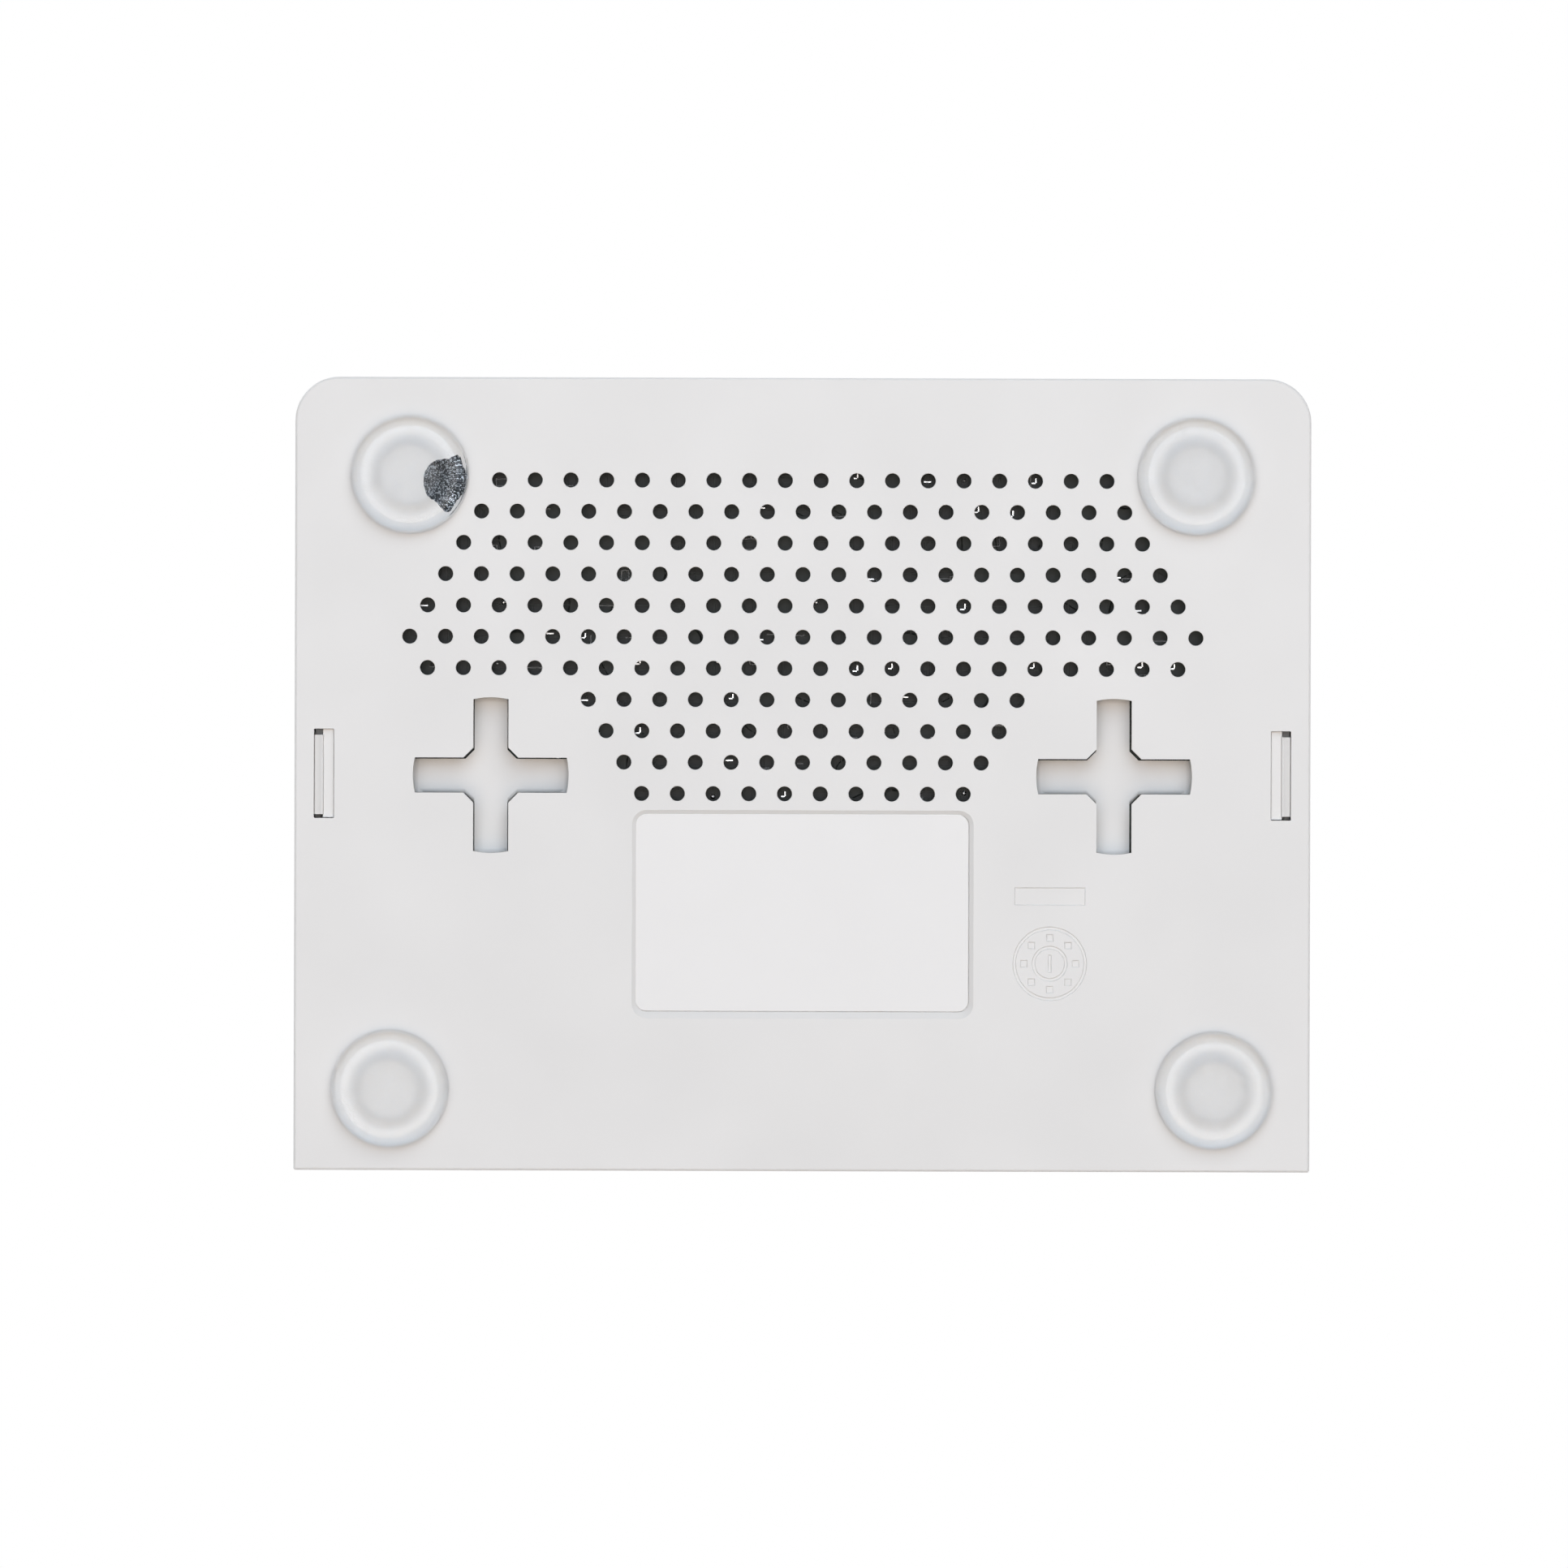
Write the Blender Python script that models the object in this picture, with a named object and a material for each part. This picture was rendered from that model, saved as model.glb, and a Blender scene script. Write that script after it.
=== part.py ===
"""Desktop wireless router: a snap-together plastic case with a perforated base, five network jacks,
a power inlet, a USB socket, a reset button and the circuit board that carries them.

Frame: metres, +Z up. The router stands on its four feet at Z = 0, the origin is in the middle of its
footprint, and the sockets face -Y. X runs from the power inlet (-X) to the USB socket (+X).
"""

import math

import bmesh
import bpy
from mathutils import Matrix, Vector

MM = 0.001

# ---------------------------------------------------------------- driving dimensions
WIDTH = 113.4 * MM
DEPTH = 88.6 * MM
HEIGHT = 28.0 * MM
FOOT_HEIGHT = 2.8 * MM
WALL = 2.0 * MM
FLOOR = 1.8 * MM
SEAM_Z = 10.6 * MM  # where the cover meets the base
REAR_CORNER = 5.0 * MM
FRONT_CORNER = 0.6 * MM
GAP = 0.3 * MM  # between pieces that fit into each other
SEAT = 0.1 * MM  # under a piece that is glued or soldered down

# ---------------------------------------------------------------- the case
BASE_Z = FOOT_HEIGHT
FLOOR_Z = BASE_Z + FLOOR
FRONT_Y = -DEPTH / 2
FRONT_INSIDE_Y = FRONT_Y + WALL
BASE_EDGE = 0.5 * MM
TOP_EDGE = 2.6 * MM
TONGUE = 1.4 * MM  # the base's lip that stands inside the cover's skirt
LAP = 1.2 * MM
CORNER_STEPS = 6

VENT_RADIUS = 0.83 * MM
VENT_PITCH_X = 3.98 * MM
VENT_PITCH_Y = 3.485 * MM
VENT_ROWS = (18, 19, 20, 21, 22, 23, 22, 13, 12, 11, 10)  # holes in each row, from the rear
VENT_FIRST_Y = 32.7 * MM
VENT_SIDES = 8

WALL_SLOT_SPACING = 70.0 * MM
WALL_SLOT_REACH = 8.6 * MM
WALL_SLOT_HALF = 2.0 * MM
WALL_SLOT_CHAMFER = 0.84 * MM
WALL_SLOT_DEPTH = 4.4 * MM
BRIDGE_HALF = 1.88 * MM
BRIDGE_THICK = 1.0 * MM
BRIDGE_END = 1.2 * MM

LABEL_SIZE = (37.0 * MM, 21.8 * MM)
LABEL_Y = -15.4 * MM
LABEL_RECESS = 0.6 * MM
LABEL_THICK = 0.25 * MM
LABEL_CORNER = 1.1 * MM
LABEL_MARGIN = 0.4 * MM

FOOT_RADIUS = 6.6 * MM
FOOT_PLACES = {
    "foot_front_left": (-45.9 * MM, -35.1 * MM),
    "foot_front_right": (45.9 * MM, -35.1 * MM),
    "foot_rear_left": (-43.8 * MM, 33.3 * MM),
    "foot_rear_right": (43.8 * MM, 33.3 * MM),
}

CLIP_X = 53.3 * MM  # middle of each snap hook's slot
CLIP_SLOT = (2.2 * MM, 9.9 * MM)
CATCH_TOP_Z = 6.5 * MM

SIDE_VENTS = 8
SIDE_VENT_PITCH = 3.6 * MM
SIDE_VENT_SIZE = (1.6 * MM, 7.0 * MM)
SIDE_VENT_FIRST_Y = 10.0 * MM
SIDE_VENT_Z = 18.8 * MM

# ---------------------------------------------------------------- the circuit board
BOARD_X = 53.8 * MM
BOARD_NOTCH = (51.9 * MM, 5.6 * MM)  # room for the snap hooks at the board's sides
BOARD_FRONT_Y = FRONT_INSIDE_Y + 0.4 * MM
BOARD_REAR_Y = 40.5 * MM
BOARD_Z = 9.2 * MM
BOARD_THICK = 1.6 * MM
BOARD_TOP = BOARD_Z + BOARD_THICK
BOARD_SCREWS = [(x * MM, y * MM) for y in (-13.0, 36.5) for x in (-47.5, 47.5)]
BOSS_RADIUS = 3.0 * MM
PILOT_RADIUS = 1.25 * MM
SCREW_RADIUS = 0.95 * MM
SCREW_HEAD = (2.7 * MM, 1.7 * MM)

# ---------------------------------------------------------------- sockets along the front
SOCKET_FACE_Y = FRONT_Y + 0.4 * MM
SOCKET_Z = BOARD_TOP + SEAT
JACK_SIZE = (15.4 * MM, 16.0 * MM, 11.6 * MM)
JACK_XS = [x * MM for x in (-27.7, -9.4, 6.3, 22.0, 37.7)]
POWER_X = -48.1 * MM
POWER_SIZE = (9.0 * MM, 14.0 * MM, 11.0 * MM)
POWER_BORE = 3.2 * MM
USB_X = 50.5 * MM
USB_SIZE = (5.8 * MM, 13.8 * MM, 13.2 * MM)
USB_SHEET = 0.35 * MM
RESET_X = -39.6 * MM
RESET_Z = 15.2 * MM
RESET_RADIUS = 2.0 * MM
LED_Y = -22.7 * MM
LED_XS = [POWER_X, RESET_X, *JACK_XS]
LED_Z = 24.7 * MM  # height of the light windows
LIGHT_GUIDE = (1.6 * MM, 1.4 * MM)  # width and thickness of one arm


# ---------------------------------------------------------------- modelling helpers
def clear_scene():
    for obj in list(bpy.data.objects):
        bpy.data.objects.remove(obj, do_unlink=True)


def material(name, colour, roughness, metallic=0.0):
    found = bpy.data.materials.get(name)
    if found:
        return found
    made = bpy.data.materials.new(name)
    made.use_nodes = True
    shader = made.node_tree.nodes["Principled BSDF"]
    shader.inputs["Base Color"].default_value = (*colour, 1.0)
    shader.inputs["Roughness"].default_value = roughness
    shader.inputs["Metallic"].default_value = metallic
    made.diffuse_color = (*colour, 1.0)
    return made


def white_plastic():
    return material("white_plastic", (0.78, 0.78, 0.78), 0.45)


def black_plastic():
    return material("black_plastic", (0.02, 0.02, 0.022), 0.4)


def clear_rubber():
    return material("clear_rubber", (0.85, 0.86, 0.85), 0.15)


def clear_acrylic():
    return material("clear_acrylic", (0.9, 0.92, 0.92), 0.1)


def paper():
    return material("label_paper", (0.83, 0.83, 0.83), 0.6)


def board_laminate():
    return material("board_laminate", (0.02, 0.025, 0.022), 0.35)


def chip_epoxy():
    return material("chip_epoxy", (0.03, 0.03, 0.032), 0.6)


def tin_plate():
    return material("tin_plate", (0.7, 0.7, 0.68), 0.3, 1.0)


def gold_plate():
    return material("gold_plate", (0.83, 0.62, 0.25), 0.25, 1.0)


def aluminium():
    return material("aluminium", (0.55, 0.56, 0.58), 0.4, 1.0)


def steel():
    return material("steel", (0.6, 0.6, 0.6), 0.35, 1.0)


def grey_pad():
    return material("thermal_pad", (0.45, 0.5, 0.6), 0.8)


def add_object(name, bm, paint, location=(0, 0, 0), parent=None):
    """A new object from a bmesh whose points are relative to location. It is shaded smooth up to 35 degrees."""
    bmesh.ops.recalc_face_normals(bm, faces=bm.faces)
    mesh = bpy.data.meshes.new(name)
    bm.to_mesh(mesh)
    bm.free()
    mesh.shade_smooth()
    mesh.set_sharp_from_angle(angle=math.radians(35))
    mesh.materials.append(paint)
    obj = bpy.data.objects.new(name, mesh)
    obj.location = location
    obj.parent = parent
    bpy.context.scene.collection.objects.link(obj)
    return obj


def as_helper(obj):
    """A cutter or an addition that only feeds a Boolean."""
    obj.hide_render = True
    obj.display_type = "WIRE"
    return obj


def boolean(obj, other, operation):
    modifier = obj.modifiers.new(other.name, "BOOLEAN")
    modifier.operation = operation
    modifier.object = as_helper(other)
    return obj


def cut(obj, *cutters):
    for cutter in cutters:
        boolean(obj, cutter, "DIFFERENCE")
    return obj


def weld(obj, *additions):
    for addition in additions:
        boolean(obj, addition, "UNION")
    return obj


def freeze(obj):
    """Replaces the mesh by its evaluated form, so that copies can share it, and removes the helpers."""
    helpers = [modifier.object for modifier in obj.modifiers]
    bpy.context.view_layer.update()
    graph = bpy.context.evaluated_depsgraph_get()
    obj.data = bpy.data.meshes.new_from_object(obj.evaluated_get(graph))
    obj.modifiers.clear()
    for helper in helpers:
        bpy.data.objects.remove(helper, do_unlink=True)
    return obj


def copies(obj, places, parent):
    """Puts obj at the first of the named places, and objects that share its mesh at the others."""
    for index, (name, location) in enumerate(places.items()):
        copy = obj if index == 0 else obj.copy()
        copy.name = name
        copy.location = location
        copy.parent = parent
        if index:
            bpy.context.scene.collection.objects.link(copy)


def arc(centre, radius, start, end, steps):
    """Points from angle start to end, in degrees, both ends included."""
    angles = [math.radians(start + (end - start) * i / steps) for i in range(steps + 1)]
    return [(centre[0] + radius * math.cos(a), centre[1] + radius * math.sin(a)) for a in angles]


def circle(radius, sides, centre=(0, 0)):
    return arc(centre, radius, 0, 360 * (sides - 1) / sides, sides - 1)


def rectangle(half_x, half_y, radius=0.0, steps=4, centre=(0, 0)):
    """Corners counter-clockwise, rounded where a radius is given."""
    points = []
    for start, (sx, sy) in zip((180, 270, 0, 90), ((-1, -1), (1, -1), (1, 1), (-1, 1))):
        middle = (centre[0] + sx * (half_x - radius), centre[1] + sy * (half_y - radius))
        points += arc(middle, radius, start, start + 90, steps) if radius else [middle]
    return points


def case_outline(inset):
    """The case's plan: rounded rear corners and crisp front ones, moved inwards by inset."""
    points = []
    corners = (
        (180, -1, -1, FRONT_CORNER),
        (270, 1, -1, FRONT_CORNER),
        (0, 1, 1, REAR_CORNER),
        (90, -1, 1, REAR_CORNER),
    )
    for start, sx, sy, full_radius in corners:
        radius = max(full_radius - inset, 0.2 * MM)
        reach = inset + radius
        middle = (sx * (WIDTH / 2 - reach), sy * (DEPTH / 2 - reach))
        points += arc(middle, radius, start, start + 90, CORNER_STEPS)
    return points


def bridge_rings(bm, rings):
    """Joins rings of equal length with quads and closes the two ends."""
    rows = [[bm.verts.new(point) for point in ring] for ring in rings]
    for low, high in zip(rows, rows[1:]):
        for i in range(len(low)):
            j = (i + 1) % len(low)
            bm.faces.new((low[i], low[j], high[j], high[i]))
    bm.faces.new(rows[0])
    bm.faces.new(rows[-1])


def lofted(name, levels, outline_at, paint, **place):
    """A solid through outlines at successive (z, inset) levels."""
    bm = bmesh.new()
    bridge_rings(bm, [[(x, y, z) for x, y in outline_at(inset)] for z, inset in levels])
    return add_object(name, bm, paint, **place)


def turned(name, profile, sides, paint, **place):
    """A solid of revolution about Z, through (radius, z) points from one end to the other."""
    bm = bmesh.new()
    bridge_rings(bm, [[(x, y, z) for x, y in circle(radius, sides)] for radius, z in profile])
    return add_object(name, bm, paint, **place)


AXES = {
    "X": Matrix(((0, 0, 1), (1, 0, 0), (0, 1, 0))),
    "Y": Matrix(((1, 0, 0), (0, 0, 1), (0, 1, 0))),
    "Z": Matrix.Identity(3),
}


def add_prism(bm, outline, low, high, axis="Z"):
    """Adds an outline swept from low to high along an axis. It lies in YZ, XZ or XY."""
    turn = AXES[axis]
    bridge_rings(bm, [[turn @ Vector((u, v, w)) for u, v in outline] for w in (low, high)])


def prism(name, outline, low, high, paint, axis="Z", **place):
    bm = bmesh.new()
    add_prism(bm, outline, low, high, axis)
    return add_object(name, bm, paint, **place)


def prisms(name, shapes, paint, **place):
    """One object from several separate (outline, low, high, axis) prisms."""
    bm = bmesh.new()
    for outline, low, high, axis in shapes:
        add_prism(bm, outline, low, high, axis)
    return add_object(name, bm, paint, **place)


def block(name, low, high, paint, **place):
    outline = [(low[0], low[1]), (high[0], low[1]), (high[0], high[1]), (low[0], high[1])]
    return prism(name, outline, low[2], high[2], paint, **place)


# ---------------------------------------------------------------- case pieces
def vent_centres():
    for row, count in enumerate(VENT_ROWS):
        y = VENT_FIRST_Y - row * VENT_PITCH_Y
        for i in range(count):
            yield ((i - (count - 1) / 2) * VENT_PITCH_X, y)


def wall_slot_outline(reach, half, chamfer):
    """A plus with arc-ended arms and a wider middle, where a screw's head goes in."""
    spread = math.degrees(math.asin(half / reach))
    quarter = arc((0, 0), reach, -spread, spread, 4) + [(half + chamfer, half), (half, half + chamfer)]
    turns = ((1, 0), (0, 1), (-1, 0), (0, -1))
    return [(x * c - y * s, x * s + y * c) for c, s in turns for x, y in quarter]


def moved(outline, dx, dy=0.0):
    return [(x + dx, y + dy) for x, y in outline]


def base_cover(parent):
    paint = white_plastic()
    levels = [
        (BASE_Z, BASE_EDGE),
        (BASE_Z + 0.3 * BASE_EDGE, 0.3 * BASE_EDGE),
        (BASE_Z + BASE_EDGE, 0.0),
        (SEAM_Z, 0.0),
        (SEAM_Z, LAP),
        (SEAM_Z + TONGUE, LAP),
        (SEAM_Z + TONGUE, WALL),
        (FLOOR_Z, WALL),
    ]
    cover = lofted("base_cover", levels, case_outline, paint, parent=parent)

    slot_xs = (-WALL_SLOT_SPACING / 2, WALL_SLOT_SPACING / 2)
    slot = wall_slot_outline(WALL_SLOT_REACH, WALL_SLOT_HALF, WALL_SLOT_CHAMFER)
    bridge = wall_slot_outline(WALL_SLOT_REACH + BRIDGE_END, BRIDGE_HALF, WALL_SLOT_CHAMFER)
    slot_top = BASE_Z + WALL_SLOT_DEPTH
    bridge_low, bridge_high = FLOOR_Z - 0.3 * MM, slot_top + BRIDGE_THICK
    bridges = [(moved(bridge, x), bridge_low, bridge_high, "Z") for x in slot_xs]
    boss_low, boss_high = FLOOR_Z - 0.4 * MM, BOARD_Z - SEAT
    bosses = [(circle(BOSS_RADIUS, 16, place), boss_low, boss_high, "Z") for place in BOARD_SCREWS]
    weld(
        cover,
        prisms("wall_slot_bridges", bridges, paint),
        prisms("board_bosses", bosses, paint),
    )

    below = BASE_Z - 1 * MM
    above = FLOOR_Z + 0.6 * MM
    vents = [(circle(VENT_RADIUS, VENT_SIDES, at), below, above, "Z") for at in vent_centres()]
    recess_x, recess_y = (size / 2 + LABEL_MARGIN for size in LABEL_SIZE)
    recess = rectangle(recess_x, recess_y, LABEL_CORNER + LABEL_MARGIN, centre=(0, LABEL_Y))
    clip_slot = rectangle(CLIP_SLOT[0] / 2, CLIP_SLOT[1] / 2)
    catch = rectangle(0.8 * MM, CLIP_SLOT[1] / 2)
    catch_x = WIDTH / 2 - WALL + 0.1 * MM
    pilot_low = FLOOR_Z + 0.4 * MM
    pilots = [(circle(PILOT_RADIUS, 10, at), pilot_low, BOARD_Z + 1 * MM, "Z") for at in BOARD_SCREWS]
    front_lip = rectangle(WIDTH / 2 - WALL - 0.2 * MM, WALL, centre=(0, FRONT_Y))
    cut(
        cover,
        prisms("vent_holes", vents, paint),
        prisms("wall_slots", [(moved(slot, x), below, slot_top, "Z") for x in slot_xs], paint),
        prism("label_recess", recess, below, BASE_Z + LABEL_RECESS, paint),
        prisms("clip_slots", [(moved(clip_slot, s * CLIP_X), below, above, "Z") for s in (-1, 1)], paint),
        prisms(
            "catches",
            [(moved(catch, s * catch_x), FLOOR_Z + GAP, CATCH_TOP_Z, "Z") for s in (-1, 1)],
            paint,
        ),
        prisms("pilot_holes", pilots, paint),
        prism("front_lip_gap", front_lip, SEAM_Z, SEAM_Z + 2 * TONGUE, paint),
    )
    return cover


def snap_hooks(paint):
    """Two tongues that hang from the cover's side walls and catch under the base's ledges."""
    leaf = [
        (53.35, 3.4),
        (53.95, 3.4),
        (54.1, 4.9),
        (55.1, 5.6),
        (55.1, 6.1),
        (54.25, 6.25),
        (54.25, 13.5),
        (55.0, 14.5),
        (55.0, 20.0),
        (53.35, 20.0),
    ]
    rib = [(52.45, 5.2), (53.45, 5.2), (53.45, 19.9), (52.45, 19.4)]
    made = []
    for side in (-1, 1):
        for label, profile, half in (("leaf", leaf, 4.35 * MM), ("rib", rib, 4.7 * MM)):
            outline = [(side * x * MM, z * MM) for x, z in profile]
            made.append(prism(f"hook_{label}_{side}", outline, -half, half, paint, axis="Y"))
    return made


def top_cover(parent):
    paint = white_plastic()
    ceiling = HEIGHT - WALL
    fillet = [
        (HEIGHT - TOP_EDGE + TOP_EDGE * math.sin(a), TOP_EDGE * (1 - math.cos(a)))
        for a in (math.radians(18 * i) for i in range(6))
    ]
    levels = [
        (ceiling, WALL + 0.8 * MM),
        (ceiling - 0.8 * MM, WALL),
        (SEAM_Z + TONGUE + GAP, WALL),
        (SEAM_Z + TONGUE + GAP, LAP - GAP),
        (SEAM_Z + GAP, LAP - GAP),
        (SEAM_Z + GAP, 0.0),
        *fillet,
    ]
    cover = lofted("top_cover", levels, case_outline, paint, parent=parent)
    pegs = [(circle(1.2 * MM, 12, at), LED_Z - 1.6 * MM, ceiling + 0.5 * MM, "Z") for at in guide_pegs()]
    weld(cover, *snap_hooks(paint), prisms("guide_pegs", pegs, paint))

    front, back = FRONT_Y - 1 * MM, FRONT_INSIDE_Y + 1 * MM
    jack_half = JACK_SIZE[0] / 2 + GAP
    openings = [
        (POWER_X - POWER_SIZE[0] / 2 - GAP, POWER_X + POWER_SIZE[0] / 2 + GAP, POWER_SIZE[2]),
        (JACK_XS[0] - jack_half, JACK_XS[0] + jack_half, JACK_SIZE[2]),
        (JACK_XS[1] - jack_half, JACK_XS[-1] + jack_half, JACK_SIZE[2]),
        (USB_X - USB_SIZE[0] / 2 - GAP, USB_X + USB_SIZE[0] / 2 + GAP, USB_SIZE[2]),
    ]
    cutters = [
        ([(x0, SEAM_Z - 1 * MM), (x1, SEAM_Z - 1 * MM), (x1, top), (x0, top)], front, back, "Y")
        for x0, x1, height in openings
        for top in (SOCKET_Z + height + GAP,)
    ]
    cutters.append((circle(RESET_RADIUS + GAP, 20, (RESET_X, RESET_Z)), front, back, "Y"))
    window = rectangle(LIGHT_GUIDE[0] / 2 + GAP, LIGHT_GUIDE[1] / 2 + GAP)
    cutters += [(moved(window, x, LED_Z), front, back, "Y") for x in LED_XS]
    vent = rectangle(SIDE_VENT_SIZE[0] / 2, SIDE_VENT_SIZE[1] / 2)
    vent_ys = [SIDE_VENT_FIRST_Y + i * SIDE_VENT_PITCH for i in range(SIDE_VENTS)]
    inner, outer = WIDTH / 2 - WALL - 1 * MM, WIDTH / 2 + 1 * MM
    for low, high in ((inner, outer), (-outer, -inner)):
        cutters += [(moved(vent, y, SIDE_VENT_Z), low, high, "X") for y in vent_ys]
    cut(cover, prisms("cover_openings", cutters, paint))
    return cover


def guide_pegs():
    y = LED_Y + 3.2 * MM
    return [(-18.5 * MM, y), (29.9 * MM, y)]


def feet(parent):
    """Clear stick-on bumpers: a stepped skirt, a rounded shoulder and a dished sole."""
    profile = [
        (FOOT_RADIUS, FOOT_HEIGHT - SEAT),
        (FOOT_RADIUS - 0.1 * MM, 1.6 * MM),
        (FOOT_RADIUS - 0.45 * MM, 0.75 * MM),
        (FOOT_RADIUS - 1.1 * MM, 0.2 * MM),
        (FOOT_RADIUS - 1.9 * MM, 0.0),
        (3.3 * MM, 0.0),
        (2.2 * MM, 0.18 * MM),
    ]
    foot = turned("foot", profile, 24, clear_rubber())
    copies(foot, {name: (*place, 0.0) for name, place in FOOT_PLACES.items()}, parent)


def rating_label(parent):
    outline = rectangle(LABEL_SIZE[0] / 2, LABEL_SIZE[1] / 2, LABEL_CORNER)
    top = LABEL_RECESS - SEAT
    place = (0, LABEL_Y, BASE_Z)
    prism("rating_label", outline, top - LABEL_THICK, top, paper(), location=place, parent=parent)


# ---------------------------------------------------------------- board and what is on it
def circuit_board(parent):
    paint = board_laminate()
    low = (-BOARD_X, BOARD_FRONT_Y, BOARD_Z)
    board = block("circuit_board", low, (BOARD_X, BOARD_REAR_Y, BOARD_TOP), paint, parent=parent)
    below, above = BOARD_Z - 1 * MM, BOARD_TOP + 1 * MM
    cutters = [(circle(1.6 * MM, 12, place), below, above, "Z") for place in BOARD_SCREWS]
    notch_x, notch_half = BOARD_NOTCH
    notch = rectangle(3 * MM, notch_half)
    cutters += [(moved(notch, side * (notch_x + 3 * MM)), below, above, "Z") for side in (-1, 1)]
    cut(board, prisms("board_cuts", cutters, paint))


def board_screws(parent):
    """Pan-head screws with a slot, down through the board into the base's bosses."""
    head_radius, head_height = SCREW_HEAD
    shank_end = FLOOR_Z + 0.9 * MM - BOARD_TOP
    profile = [
        (0.3 * MM, shank_end),
        (SCREW_RADIUS, shank_end + 1.2 * MM),
        (SCREW_RADIUS, SEAT),
        (head_radius, SEAT),
        (head_radius, 0.6 * head_height),
        (0.7 * head_radius, head_height),
    ]
    screw = turned("screw", profile, 12, steel())
    slot = rectangle(2 * head_radius, 0.35 * MM)
    cut(screw, prism("screw_slot", slot, 0.55 * head_height, 2 * head_height, steel()))
    freeze(screw)
    places = {f"board_screw_{i + 1}": (*place, BOARD_TOP) for i, place in enumerate(BOARD_SCREWS)}
    copies(screw, places, parent)


def jack_cavity():
    """Front view of the space for a plug, about the jack's middle: the body and, below it, the latch."""
    half = [(0.0, 0.9), (1.7, 0.9), (1.7, 1.6), (3.1, 1.6), (3.1, 3.0), (5.9, 3.0), (5.9, 9.8), (0.0, 9.8)]
    right = [(x * MM, z * MM) for x, z in half if x]
    return right + [(-x, z) for x, z in reversed(right)]


def ethernet_jacks(parent):
    width, depth, height = JACK_SIZE
    paint = black_plastic()
    housing = block("jack", (-width / 2, 0, 0), (width / 2, depth, height), paint)
    cut(housing, prism("jack_cavity", jack_cavity(), -1 * MM, depth - 1.5 * MM, paint, axis="Y"))
    freeze(housing)
    places = {f"ethernet_jack_{i + 1}": (x, SOCKET_FACE_Y, SOCKET_Z) for i, x in enumerate(JACK_XS)}
    copies(housing, places, parent)


def ethernet_contacts(parent):
    """Eight sprung wires that slope back from the jack's roof to the block that carries them."""
    paint = gold_plate()
    back = JACK_SIZE[1] - 1.5 * MM - SEAT
    block_low, block_high = (-5.3 * MM, back - 1.6 * MM, 3.4 * MM), (5.3 * MM, back, 9.5 * MM)
    carrier = block("contacts", block_low, block_high, paint)
    pitch, half = 1.02 * MM, 0.22 * MM
    front_y, rear_y = 2.2 * MM, back - 0.8 * MM
    roof_z, low_z, thick = 9.5 * MM, 7.4 * MM, 0.4 * MM
    wire = [(front_y, roof_z - thick), (rear_y, low_z), (rear_y, low_z + thick), (front_y, roof_z)]
    wires = []
    for i in range(8):
        x = (i - 3.5) * pitch
        wires.append((wire, x - half, x + half, "X"))
    weld(carrier, prisms("wires", wires, paint))
    freeze(carrier)
    places = {f"ethernet_contacts_{i + 1}": (x, SOCKET_FACE_Y, SOCKET_Z) for i, x in enumerate(JACK_XS)}
    copies(carrier, places, parent)


def power_jack(parent):
    width, depth, height = POWER_SIZE
    place = (POWER_X, SOCKET_FACE_Y, SOCKET_Z)
    paint = black_plastic()
    low, high = (-width / 2, 0, 0), (width / 2, depth, height)
    housing = block("power_jack", low, high, paint, location=place, parent=parent)
    bore_end = 10.0 * MM
    bore = circle(POWER_BORE, 16, (0, height / 2))
    cut(housing, prism("power_bore", bore, -1 * MM, bore_end, paint, axis="Y", location=place))
    profile = [
        (0.6 * MM, 1.0 * MM),
        (1.0 * MM, 1.4 * MM),
        (1.0 * MM, 7.6 * MM),
        (2.2 * MM, 8.0 * MM),
        (2.2 * MM, bore_end - SEAT),
    ]
    pin = turned("power_jack_pin", profile, 12, tin_plate(), parent=parent)
    pin.location = (POWER_X, SOCKET_FACE_Y, SOCKET_Z + height / 2)
    pin.rotation_euler = (math.radians(-90), 0, 0)


def usb_socket(parent):
    """A type A receptacle on its side: a folded tin shell round a plastic block with a tongue."""
    width, depth, height = USB_SIZE
    place = (USB_X, SOCKET_FACE_Y, SOCKET_Z)
    middle = (0, height / 2)
    outside = rectangle(width / 2, height / 2, centre=middle)
    inside = rectangle(width / 2 - USB_SHEET, height / 2 - USB_SHEET, centre=middle)
    shell = prism("usb_shell", outside, 0, depth, tin_plate(), axis="Y", location=place, parent=parent)
    hollow = prism("usb_hollow", inside, -1 * MM, depth - USB_SHEET, tin_plate(), axis="Y", location=place)
    cut(shell, hollow)
    fit = USB_SHEET + SEAT
    rear = depth - USB_SHEET - SEAT
    low, high = (-width / 2 + fit, rear - 3 * MM, fit), (width / 2 - fit, rear, height - fit)
    insert = block("usb_insert", low, high, black_plastic(), location=place, parent=parent)
    tongue = block(
        "usb_tongue",
        (0.1 * MM, 1.2 * MM, 1.1 * MM),
        (1.95 * MM, rear - 2 * MM, height - 1.1 * MM),
        black_plastic(),
        location=place,
    )
    weld(insert, tongue)


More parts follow.
